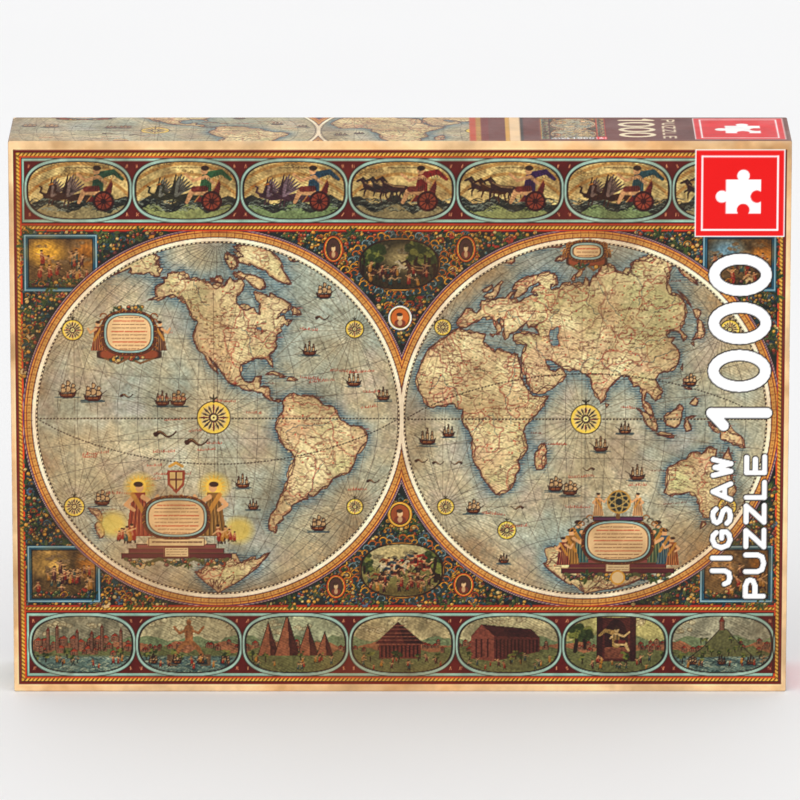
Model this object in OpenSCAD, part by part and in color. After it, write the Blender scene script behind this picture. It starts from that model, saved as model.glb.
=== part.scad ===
// Boxed jigsaw puzzle: a telescoping set-up box standing on its long side.
// +X runs along the long side, +Z up, and the printed front faces -Y.
// The origin is at the middle of the bottom, under the middle of the box.

/* [Box] */
// Length of the long side
box_w = 370; // [355:1:450]
// Height as it stands on its long side
box_h = 270; // [258:1:330]
// Depth from the printed front to the back of the tray
box_d = 55; // [53:1:70]
// How far the tray's back stands proud of the lid's rim
lid_reveal = 1.5; // [1:0.1:3]

/* [Board and paper] */
// Thickness of the grey board
board_t = 1.6; // [1.2:0.1:2.2]
// Thickness of the printed wrap
wrap_t = 0.25; // [0.2:0.01:0.4]
// Width of the strip of wrap that is folded in over the rim
turn_in = 15; // [10:1:20]
// Thickness of the paper stays that hold the wall corners
stay_t = 0.2; // [0.15:0.01:0.3]
// Width of a stay on each side of its corner
stay_leg = 18; // [12:1:24]
// Width of the open joint where two walls of the board meet
joint_gap = 0.1; // [0.05:0.01:0.2]
// Gap between the lid's walls and the tray's walls, each side
fit_gap = 0.8; // [0.6:0.1:1.5]
// Gap between the tray's rim and the inside of the lid's front
rim_gap = 0.5; // [0.3:0.1:1.5]

/* [Jigsaw] */
// Pieces along the long side of the finished picture
grid_columns = 40; // [20:1:40]
// Pieces along the short side of the finished picture
grid_rows = 25; // [15:1:26]
// Width of one piece in the cut grid
cell_w = 17; // [14:0.1:20.4]
// Height of one piece in the cut grid
cell_h = 19.2; // [16:0.1:19.4]
// Thickness of the puzzle board
piece_t = 1.9; // [1.5:0.05:2.1]
// Radius of a tab's round head
tab_r = 2.8; // [2.2:0.05:3]
// Distance from the edge of a piece to the middle of a tab's head
tab_out = 2.2; // [1.6:0.1:2.3]
// Width of the cut between two pieces
kerf = 0.1; // [0.05:0.01:0.2]
// Air between two pieces that lie on each other in the bag
layer_gap = 0.3; // [0.1:0.05:0.4]

/* [Bag] */
// Free width beside the bag, each side
side_gap = 6; // [3:0.5:10]
// Least free height above the bag
headroom = 12; // [6:1:20]
// Thickness of the bag's film
film_t = 0.3; // [0.2:0.05:0.5]
// Height over which the bag closes above the pieces
shoulder_h = 14; // [8:1:18]
// Height of the flat top seal
seal_h = 12; // [8:1:16]
// Air that loose contents keep from what holds them
loose_gap = 0.3; // [0.2:0.05:0.5]

/* [Leaflet and sachet] */
// Width of the folded leaflet
leaflet_w = 200; // [150:1:240]
// Height of the folded leaflet
leaflet_h = 140; // [100:1:200]
// Thickness of the leaflet's paper
paper_t = 0.2; // [0.12:0.01:0.3]
// Air between two folded panels of the leaflet
fold_gap = 0.3; // [0.2:0.05:0.6]
// Distance from the leaflet to the sachet
sachet_gap = 38; // [10:1:50]
// Width of the glue sachet
sachet_w = 64; // [50:1:80]
// Height of the glue sachet with its seals
sachet_h = 92; // [70:1:120]
// Depth of the filled sachet
sachet_d = 6.4; // [4:0.1:7.2]
// Height of each crimped seal of the sachet
crimp_h = 8; // [5:1:12]
// Width of each side seal of the sachet
side_seal = 3; // [2:0.5:6]
// Share of the sachet's height that the powder fills
powder_fill = 0.62; // [0.3:0.01:0.9]

/* [Hidden] */
past = 1; // how far a cutting solid runs past what it cuts

wall_t = wrap_t + board_t + wrap_t; // a wall where the wrap is folded in
lid_d = box_d - lid_reveal;
tray_w = box_w - 2 * (wall_t + fit_gap);
tray_h = box_h - 2 * (wall_t + fit_gap);
tray_d = box_d - wrap_t - board_t - rim_gap;

// The room for the contents inside the tray and the lid
room_w = tray_w - 2 * wall_t;
room_h = tray_h - 2 * wall_t;
room_back = box_d / 2 - wrap_t - board_t;
room_front = -room_back;
floor_z = (box_h - room_h) / 2 + loose_gap;
back_y = room_back - loose_gap;

// ---------------------------------------------------------------- box

// A block in the shell's own frame: outer face at y = 0, mouth towards +y.
module block(w, h, y0, y1) {
    translate([-w / 2, y0, -h / 2]) cube([w, y1 - y0, h]);
}

// L-shaped strips round the four wall corners of a shell of w x h.
module corner_strips(w, h, y0, y1) {
    difference() {
        block(w, h, y0, y1);
        block(w - 2 * stay_t, h - 2 * stay_t, y0 - past, y1 + past);
        block(w - 2 * stay_leg, h + past, y0 - past, y1 + past);
        block(w + past, h - 2 * stay_leg, y0 - past, y1 + past);
    }
}

// Grey board, folded from one sheet: the panel with four walls. The walls meet
// each other at open joints, which the stays close.
module shell_board(w, h, d) {
    bw = w - 2 * wrap_t;
    bh = h - 2 * wrap_t;
    y0 = wrap_t + board_t;
    y1 = d - wrap_t;
    short_wall = bh - 2 * (board_t + joint_gap);
    block(bw, bh, wrap_t, y0);
    difference() {
        for (side = [-1, 1]) {
            translate([0, 0, side * (bh - board_t) / 2]) block(bw, board_t, y0, y1);
            translate([side * (bw - board_t) / 2, 0, 0]) block(board_t, short_wall, y0, y1);
        }
        corner_strips(bw, bh, y0, y1 + past);
    }
}

// Paper stays, set flush into the corners of the board.
module shell_stays(w, h, d) {
    corner_strips(w - 2 * wrap_t, h - 2 * wrap_t, wrap_t + board_t, d - wrap_t);
}

// Printed paper: over the front and the walls, round the rim and folded in.
module shell_wrap(w, h, d) {
    bw = w - 2 * wrap_t;
    bh = h - 2 * wrap_t;
    iw = bw - 2 * board_t;
    ih = bh - 2 * board_t;
    difference() {
        block(w, h, 0, d);
        block(bw, bh, wrap_t, d - wrap_t);
        block(iw, ih, d / 2, d + past);
    }
    difference() {
        block(iw, ih, d - turn_in, d);
        block(iw - 2 * wrap_t, ih - 2 * wrap_t, d - turn_in - past, d + past);
    }
}

module in_lid() {
    translate([0, -box_d / 2, box_h / 2]) children();
}

module in_tray() {
    translate([0, box_d / 2, box_h / 2]) rotate([0, 0, 180]) children();
}

module lid_wrap() {
    color([0.62, 0.55, 0.43]) in_lid() shell_wrap(box_w, box_h, lid_d);
}

module lid_board() {
    color([0.60, 0.57, 0.52]) in_lid() shell_board(box_w, box_h, lid_d);
}

module lid_corner_stays() {
    color([0.80, 0.66, 0.48]) in_lid() shell_stays(box_w, box_h, lid_d);
}

module tray_wrap() {
    color([0.36, 0.13, 0.10]) in_tray() shell_wrap(tray_w, tray_h, tray_d);
}

module tray_board() {
    color([0.60, 0.57, 0.52]) in_tray() shell_board(tray_w, tray_h, tray_d);
}

module tray_corner_stays() {
    color([0.80, 0.66, 0.48]) in_tray() shell_stays(tray_w, tray_h, tray_d);
}

// ---------------------------------------------------------------- the heap of pieces

// The pieces stand in the bag as a heap: stacks in columns and rows, each of them
// a number of pieces deep. Higher stacks hold fewer pieces.
total = grid_columns * grid_rows;
reach = max(cell_w, cell_h) / 2 + tab_out + tab_r; // from a piece's middle to a tab's tip
spacing = 2 * reach + 0.6; // least distance between two stacks
layer_pitch = piece_t + layer_gap;
bag_w = room_w - 2 * side_gap;
heap_w = bag_w - 2 * (film_t + loose_gap);
columns = floor(heap_w / spacing);
column_pitch = heap_w / columns;
rows = floor((room_h - headroom - seal_h - shoulder_h - 4 * film_t) / spacing);
row_pitch = spacing;
shown = 2; // pieces drawn one by one at the front of a stack; the rearmost is drawn too

function weight(row) = pow(1 - pow((row + 0.5) / rows, 3.2), 0.75);
function sum_to(row) = row < 0 ? 0 : weight(row) + sum_to(row - 1);

// The number of the first piece in a stack, counting up each column in turn.
function first_in(column, row) =
    round(total * (column + sum_to(row - 1) / sum_to(rows - 1)) / columns);
function stack_size(column, row) = first_in(column, row + 1) - first_in(column, row);
function row_depth(row) =
    max([for (column = [0:columns - 1]) stack_size(column, row)]) * layer_pitch + loose_gap;

heap_foot = floor_z + film_t + loose_gap;
heap_back = back_y - film_t - loose_gap;
bag_h = rows * row_pitch + shoulder_h + 2 * film_t + loose_gap;
bag_d = row_depth(0) + 2 * film_t + loose_gap;

// A number from 0 to 1 that looks random and is the same each time.
function noise(i, k) = let (v = sin(i * 127.1 + k * 311.7) * 43758.5453) v - floor(v);

// Which way the cut bulges on one side of the piece at a column and row of the
// picture: 1 towards the next piece and -1 back. dir 0 is the side towards +x
// and 1 the side towards +y. Most pieces have two tabs on opposite sides.
function bulge(column, row, dir) =
    let (flip = noise(column * 3.7 + row * 9.1, dir + 2) < 0.22 ? -1 : 1)
    flip * ((column + row + dir) % 2 == 0 ? 1 : -1);

// The four edges of that piece: 1 is a tab, -1 a socket and 0 a straight edge.
function edges_of(column, row) = [
    column == grid_columns - 1 ? 0 : bulge(column, row, 0),
    row == grid_rows - 1 ? 0 : bulge(column, row, 1),
    column == 0 ? 0 : -bulge(column - 1, row, 0),
    row == 0 ? 0 : -bulge(column, row - 1, 1)
];

function count(edges, kind) = len([for (edge = edges) if (edge == kind) edge]);

FAMILIES = [
    "four_sockets", "one_tab", "adjacent_tabs", "three_tabs", "four_tabs",
    "opposite_tabs", "edge", "corner"
];

function family(edges) =
    let (straight = count(edges, 0), tabs = count(edges, 1))
    straight > 0 ? FAMILIES[5 + straight]
        : tabs == 2 && edges[0] == edges[2] ? "opposite_tabs" : FAMILIES[tabs];

// The heap is shuffled: the step from one piece of the heap to the next in the
// picture has no factor in common with the number of pieces.
shuffle_step = 617;
function picture_place(i) = (i * shuffle_step) % total;

// One piece, flat in its own x-y plane, with its picture side towards +z.
module piece(edges) {
    half = [cell_w / 2, cell_h / 2, cell_w / 2, cell_h / 2];
    linear_extrude(piece_t) difference() {
        union() {
            square([cell_w - kerf, cell_h - kerf], center = true);
            for (side = [0:3])
                if (edges[side] > 0)
                    rotate(90 * side) translate([half[side] + tab_out, 0])
                        circle(r = tab_r - kerf / 2, $fn = 48);
        }
        for (side = [0:3])
            if (edges[side] < 0)
                rotate(90 * side) translate([half[side] - tab_out, 0])
                    circle(r = tab_r + kerf / 2, $fn = 48);
    }
}

// The middle of a place in the heap. Layer 0 is the front one.
function stack_x(column) = (column + 0.5) * column_pitch - heap_w / 2;
function stack_z(row) = heap_foot + (row + 0.5) * row_pitch;
function layer_y(column, row, layer) =
    heap_back - (stack_size(column, row) - layer - 0.5) * layer_pitch;

module in_heap(column, row, layer, i) {
    face = noise(i, 5) > 0.4 ? 90 : -90; // some pieces show their picture, some their back
    translate([stack_x(column), layer_y(column, row, layer), stack_z(row)])
        rotate([face, 0, 0])
            rotate(90 * floor(4 * noise(i, 7)) + 16 * (noise(i, 9) - 0.5))
                translate([0, 0, -piece_t / 2]) children();
}

// The drawn pieces of one family: those at the front and at the back of each stack.
module pieces_of(name) {
    for (column = [0:columns - 1], row = [0:rows - 1]) {
        size = stack_size(column, row);
        for (layer = [0:size - 1]) if (layer < shown || layer == size - 1) {
            i = first_in(column, row) + layer;
            place = picture_place(i);
            edges = edges_of(place % grid_columns, floor(place / grid_columns));
            if (family(edges) == name) in_heap(column, row, layer, i) piece(edges);
        }
    }
}

// The pieces inside each stack, joined into one block with their volume.
module inner_pieces() {
    color([0.55, 0.50, 0.42])
        for (column = [0:columns - 1], row = [0:rows - 1]) {
            inner = stack_size(column, row) - shown - 1;
            if (inner > 0)
                translate([stack_x(column), layer_y(column, row, shown + (inner - 1) / 2), stack_z(row)])
                    cube([cell_w, inner * piece_t, cell_h], center = true);
        }
}

module corner_pieces() {
    color([0.82, 0.66, 0.46]) pieces_of("corner");
}

module edge_pieces() {
    color([0.78, 0.62, 0.42]) pieces_of("edge");
}

module four_tab_pieces() {
    color([0.58, 0.60, 0.55]) pieces_of("four_tabs");
}

module three_tab_pieces() {
    color([0.70, 0.62, 0.45]) pieces_of("three_tabs");
}

module opposite_tab_pieces() {
    color([0.50, 0.56, 0.55]) pieces_of("opposite_tabs");
}

module adjacent_tab_pieces() {
    color([0.66, 0.55, 0.38]) pieces_of("adjacent_tabs");
}

module one_tab_pieces() {
    color([0.55, 0.45, 0.35]) pieces_of("one_tab");
}

module four_socket_pieces() {
    color([0.47, 0.52, 0.50]) pieces_of("four_sockets");
}

// ---------------------------------------------------------------- bag

// Side view of the bag as points [depth from the back, height]: the film follows
// the heap's front and closes above it. inset shrinks it to the film's inside.
function bag_side(inset) = concat(
    [[inset, inset], [bag_d - inset, inset]],
    [for (row = [0:rows - 1])
        [bag_d - inset - row_depth(0) + row_depth(row), film_t + loose_gap + (row + 1) * row_pitch]],
    [[2 * film_t - inset / 2, bag_h - inset], [inset, bag_h - inset]]
);

module bag_body(inset) {
    translate([bag_w / 2 - inset, back_y, floor_z])
        rotate([90, 0, -90])
            linear_extrude(bag_w - 2 * inset) polygon(bag_side(inset));
}

module bag_film() {
    color([0.86, 0.89, 0.90]) {
        difference() {
            bag_body(0);
            bag_body(film_t);
        }
        translate([-bag_w / 2, back_y - 2 * film_t, floor_z + bag_h])
            cube([bag_w, 2 * film_t, seal_h]);
    }
}

// ---------------------------------------------------------------- leaflet and sachet

front_w = leaflet_w + sachet_gap + sachet_w; // the leaflet and the sachet side by side
leaflet_x = (leaflet_w - front_w) / 2;
sachet_x = (front_w - sachet_w) / 2;
leaflet_y = back_y - bag_d - loose_gap; // the leaflet leans on the bag
sachet_y = (room_front + leaflet_y) / 2;

// A letter-folded sheet: three panels joined by two round folds.
module leaflet() {
    step = paper_t + fold_gap;
    panel = leaflet_w - 2 * step;
    color([0.90, 0.88, 0.82])
        translate([leaflet_x, leaflet_y - 3 * paper_t - 2 * fold_gap, floor_z])
            linear_extrude(leaflet_h) {
                for (k = [0:2]) translate([-panel / 2, k * step]) square([panel, paper_t]);
                for (k = [0:1])
                    translate([(k == 0 ? 1 : -1) * panel / 2, (k + 0.5) * step + paper_t / 2])
                        rotate(k == 0 ? 0 : 180)
                            intersection() {
                                difference() {
                                    circle(d = step + paper_t, $fn = 32);
                                    circle(d = step - paper_t, $fn = 32);
                                }
                                translate([0, -step]) square(2 * step);
                            }
            }
}

// Cross-section of the sachet: two arcs that meet at its side seals.
function lens(w, d) = concat(
    [for (i = [0:16]) let (s = i / 8 - 1) [s * w / 2, -d / 2 * (1 - s * s) - film_t / 2]],
    [for (i = [0:16]) let (s = 1 - i / 8) [s * w / 2, d / 2 * (1 - s * s) + film_t / 2]]
);

sachet_body_h = sachet_h - 2 * crimp_h;

module sachet_film() {
    color([0.92, 0.92, 0.90])
        translate([sachet_x, sachet_y, floor_z]) {
            translate([0, 0, crimp_h]) difference() {
                linear_extrude(sachet_body_h) polygon(lens(sachet_w, sachet_d));
                translate([0, 0, film_t])
                    linear_extrude(sachet_body_h - 2 * film_t)
                        polygon(lens(sachet_w - 2 * side_seal, sachet_d - 4 * film_t));
            }
            for (z = [0, sachet_h - crimp_h])
                translate([-sachet_w / 2, -film_t, z]) cube([sachet_w, 2 * film_t, crimp_h]);
        }
}

// The powder has settled in the lower part of the sachet.
module glue_powder() {
    color([0.96, 0.95, 0.91])
        translate([sachet_x, sachet_y, floor_z + crimp_h + 2 * film_t])
            linear_extrude(powder_fill * sachet_body_h)
                polygon(lens(sachet_w - 3 * side_seal, sachet_d - 6 * film_t));
}

// ---------------------------------------------------------------- nodes

lid_wrap();
lid_board();
lid_corner_stays();
tray_wrap();
tray_board();
tray_corner_stays();
bag_film();
inner_pieces();
corner_pieces();
edge_pieces();
four_tab_pieces();
three_tab_pieces();
opposite_tab_pieces();
adjacent_tab_pieces();
one_tab_pieces();
four_socket_pieces();
leaflet();
sachet_film();
glue_powder();
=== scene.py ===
"""Looks of the boxed jigsaw puzzle: a printed lid and tray, and the bag, leaflet and sachet inside them.

The prints are painted in millimetres on a grid (Print); the meshes carry them as the attribute "print"."""
import math
import bpy
import numpy as np
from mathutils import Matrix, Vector
from mathutils.geometry import delaunay_2d_cdt

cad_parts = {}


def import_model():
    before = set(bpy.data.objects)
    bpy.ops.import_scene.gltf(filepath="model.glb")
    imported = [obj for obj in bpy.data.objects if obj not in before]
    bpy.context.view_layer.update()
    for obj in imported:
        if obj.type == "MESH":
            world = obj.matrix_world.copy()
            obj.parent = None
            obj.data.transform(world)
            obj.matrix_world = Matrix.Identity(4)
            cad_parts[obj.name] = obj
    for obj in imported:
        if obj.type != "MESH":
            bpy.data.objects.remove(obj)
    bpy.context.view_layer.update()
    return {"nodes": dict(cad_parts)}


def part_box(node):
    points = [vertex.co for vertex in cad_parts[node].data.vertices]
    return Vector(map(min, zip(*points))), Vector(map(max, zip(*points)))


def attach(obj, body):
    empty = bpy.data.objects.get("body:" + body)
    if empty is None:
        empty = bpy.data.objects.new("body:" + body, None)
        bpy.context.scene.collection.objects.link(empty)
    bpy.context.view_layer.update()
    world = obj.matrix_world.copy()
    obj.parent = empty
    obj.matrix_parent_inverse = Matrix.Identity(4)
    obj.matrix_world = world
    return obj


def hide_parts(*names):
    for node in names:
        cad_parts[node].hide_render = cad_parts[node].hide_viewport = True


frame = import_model()
NODES = frame["nodes"]

# Print colours, 0 to 255
PARCHMENT = (241, 204, 157)
DARK_RED = (120, 32, 22)
ORANGE_RED = (196, 74, 38)
GOLD = (214, 158, 62)
INK = (48, 32, 26)
CREAM = (240, 222, 184)
AQUA = (148, 176, 158)
LAND = (206, 184, 138)
SEA = (186, 172, 138)
COAST = (112, 62, 48)
LABEL_RED = (226, 8, 22)
WHITE = (255, 253, 248)
MAROON = (108, 48, 38)
TRAY_MAROON = (98, 36, 28)
TRAY_SHADE = (66, 22, 18)
BARK = (40, 28, 22)
BRONZE = (158, 106, 66)
SKIN = (214, 160, 112)
ALL = (slice(None), slice(None))  # the whole of a print


# ------------------------------------------------------------ drawing in millimetres

class Print:
    """A printed sheet as a grid of colours. Places and sizes are millimetres on the flat sheet."""

    def __init__(self, low, high, step):
        self.low, self.step = low, step
        self.nu = int(round((high[0] - low[0]) / step)) + 1
        self.nv = int(round((high[1] - low[1]) / step)) + 1
        self.rgb = np.zeros((self.nv, self.nu, 3), np.float32)
        self.clip = None

    def window(self, u0, v0, u1, v1):
        """The part of the grid inside a box, as slices and the places of its points."""
        i0 = max(0, int((u0 - self.low[0]) / self.step) - 1)
        i1 = min(self.nu, int((u1 - self.low[0]) / self.step) + 3)
        j0 = max(0, int((v0 - self.low[1]) / self.step) - 1)
        j1 = min(self.nv, int((v1 - self.low[1]) / self.step) + 3)
        if i1 <= i0 or j1 <= j0:
            return None
        u = self.low[0] + self.step * np.arange(i0, i1, dtype=np.float32)[None, :]
        v = self.low[1] + self.step * np.arange(j0, j1, dtype=np.float32)[:, None]
        return (slice(j0, j1), slice(i0, i1)), u, v

    def lay(self, where, cover, colour, strength=1.0):
        """Lays a colour (0 to 255) over a window by its cover (0 to 1)."""
        a = np.clip(cover, 0, 1) * strength
        if self.clip is not None:
            a = a * self.clip[where]
        a = a[..., None]
        self.rgb[where] += (np.asarray(colour, np.float32) / 255 - self.rgb[where]) * a

    def flood(self, colour):
        """Lays a colour over the whole sheet."""
        self.lay(ALL, np.ones((self.nv, self.nu), np.float32), colour)

    def shade_by(self, where, factor):
        """Multiplies a window by a field, inside the clip."""
        if self.clip is not None:
            factor = 1 + (factor - 1) * self.clip[where]
        self.rgb[where] *= factor[..., None]

    def clip_to(self, where, cover):
        """Keeps what follows inside a cover of a window."""
        self.clip = np.zeros((self.nv, self.nu), np.float32)
        self.clip[where] = cover

    def box(self, u0, v0, u1, v1, colour, strength=1.0, soft=0.0):
        w = self.window(u0 - soft, v0 - soft, u1 + soft, v1 + soft)
        if w is None:
            return
        where, u, v = w
        d = np.maximum(np.maximum(u0 - u, u - u1), np.maximum(v0 - v, v - v1))
        self.lay(where, 0.5 - d / max(self.step, soft), colour, strength)

    def frame(self, u0, v0, u1, v1, width, colour, strength=1.0):
        self.box(u0, v0, u1, v0 + width, colour, strength)
        self.box(u0, v1 - width, u1, v1, colour, strength)
        self.box(u0, v0, u0 + width, v1, colour, strength)
        self.box(u1 - width, v0, u1, v1, colour, strength)

    def oval(self, u, v, a, b, colour, strength=1.0, turn=0.0, line=None, power=2.0, soft=0.0):
        """A filled oval, or its outline where a line width is given. A power over 2 squares it off."""
        m = max(a, b) + (line or 0) + soft
        w = self.window(u - m, v - m, u + m, v + m)
        if w is None:
            return
        where, x, y = w
        c, s = math.cos(turn), math.sin(turn)
        p, q = (x - u) * c + (y - v) * s, (y - v) * c - (x - u) * s
        r = (np.abs(p / a) ** power + np.abs(q / b) ** power) ** (1 / power)
        d = (r - 1) * min(a, b)
        if line:
            d = np.abs(d) - line / 2
        self.lay(where, 0.5 - d / max(self.step, soft), colour, strength)

    def rimmed(self, u, v, a, b, colour, line=0.35, edge=INK, strength=0.9, power=2.0):
        """A filled oval with a thin edge."""
        self.oval(u, v, a, b, colour, power=power)
        self.oval(u, v, a, b, edge, strength, line=line, power=power)

    def stroke(self, points, width, colour, strength=1.0, end_width=None):
        """A line with round ends through points."""
        n = len(points) - 1
        for k in range(n):
            (u0, v0), (u1, v1) = points[k], points[k + 1]
            r0 = r1 = width / 2
            if end_width is not None:
                r0 = (width + (end_width - width) * k / n) / 2
                r1 = (width + (end_width - width) * (k + 1) / n) / 2
            m = max(r0, r1) + self.step
            w = self.window(min(u0, u1) - m, min(v0, v1) - m, max(u0, u1) + m, max(v0, v1) + m)
            if w is None:
                continue
            where, u, v = w
            du, dv = u1 - u0, v1 - v0
            t = np.clip(((u - u0) * du + (v - v0) * dv) / max(du * du + dv * dv, 1e-9), 0, 1)
            d = np.hypot(u - u0 - t * du, v - v0 - t * dv) - (r0 + (r1 - r0) * t)
            # A line thinner than the grid is laid weaker, not wider.
            thin = min(1.0, 2 * max(r0, r1) / self.step)
            self.lay(where, (0.5 - d / self.step) * thin, colour, strength)

    def inside(self, points):
        """Which points of the grid lie inside an outline, and the window they are in."""
        p = np.asarray(points, np.float64)
        w = self.window(p[:, 0].min(), p[:, 1].min(), p[:, 0].max(), p[:, 1].max())
        if w is None:
            return None
        where, u, v = w
        u0, v0 = float(u[0, 0]), float(v[0, 0])
        rows, columns = v.shape[0], u.shape[1]
        flip = np.zeros((rows, columns + 1), np.uint8)
        for (ax, ay), (bx, by) in zip(p, np.roll(p, -1, 0)):
            if ay == by:
                continue
            if ay > by:
                ax, ay, bx, by = bx, by, ax, ay
            j = np.arange(max(0, math.ceil((ay - v0) / self.step)),
                          min(rows, math.ceil((by - v0) / self.step)))
            x = ax + (bx - ax) * ((v0 + j * self.step) - ay) / (by - ay)
            i = np.clip(np.ceil((x - u0) / self.step).astype(int), 0, columns)
            flip[j, i] ^= 1
        return where, np.bitwise_xor.accumulate(flip, 1)[:, :columns].astype(np.float32)

    def fill(self, points, colour, strength=1.0):
        got = self.inside(points)
        if got is not None:
            self.lay(got[0], got[1], colour, strength)

    def sample(self, u, v):
        """The print's colours at places on it."""
        x = np.clip((np.asarray(u) - self.low[0]) / self.step, 0, self.nu - 1.001)
        y = np.clip((np.asarray(v) - self.low[1]) / self.step, 0, self.nv - 1.001)
        i, j = x.astype(int), y.astype(int)
        fx, fy = (x - i)[..., None], (y - j)[..., None]
        g = self.rgb
        low = g[j, i] * (1 - fx) + g[j, i + 1] * fx
        high = g[j + 1, i] * (1 - fx) + g[j + 1, i + 1] * fx
        return low * (1 - fy) + high * fy


def blur(field, radius):
    """A soft copy of a field: three passes of a box filter, radius in grid steps."""
    r = max(1, int(radius))
    for _ in range(3):
        for axis in (0, 1):
            pad = [(0, 0)] * field.ndim
            pad[axis] = (r + 1, r)
            total = np.cumsum(np.pad(field, pad, mode="edge"), axis, dtype=np.float64)
            n = field.shape[axis]
            high = np.take(total, np.arange(2 * r + 1, 2 * r + 1 + n), axis)
            low = np.take(total, np.arange(n), axis)
            field = ((high - low) / (2 * r + 1)).astype(np.float32)
    return field


def noise(shape, scale, rng, octaves=3):
    """Smooth noise from -1 to 1, with its largest feature of a scale in grid steps."""
    out = np.zeros(shape, np.float32)
    amount = 1.0
    for _ in range(octaves):
        n = (int(shape[0] / scale) + 3, int(shape[1] / scale) + 3)
        grid = rng.uniform(-1, 1, n).astype(np.float32)
        y = np.arange(shape[0], dtype=np.float32) / scale
        x = np.arange(shape[1], dtype=np.float32) / scale
        j, i = y.astype(int), x.astype(int)
        fy, fx = (y - j)[:, None], (x - i)[None, :]
        fy, fx = fy * fy * (3 - 2 * fy), fx * fx * (3 - 2 * fx)
        a, b = grid[j][:, i], grid[j][:, i + 1]
        c, d = grid[j + 1][:, i], grid[j + 1][:, i + 1]
        out += amount * ((a * (1 - fx) + b * fx) * (1 - fy) + (c * (1 - fx) + d * fx) * fy)
        amount *= 0.55
        scale = max(1.0, scale / 2.1)
    return out / 1.6


def placer(u, v, across=1.0, up=1.0):
    """A function that puts a point of a small drawing on the sheet, by its units across and up."""
    return lambda x, y: (u + across * x, v + up * y)


def limbs(p, at, s, rows):
    """Strokes of a small drawing of size s. A row has points, a width, a colour, a strength and perhaps an
    end width."""
    for points, width, colour, strength, *end in rows:
        p.stroke([at(*q) for q in points], width * s, colour, strength, end[0] * s if end else None)


def around(count, u, v, a, b, start=0.0):
    """Numbers, angles and places at even steps round an oval."""
    for k in range(count):
        t = (k + start) * 2 * math.pi / count
        yield k, t, u + a * math.cos(t), v + b * math.sin(t)


# ------------------------------------------------------------ the world

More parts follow.
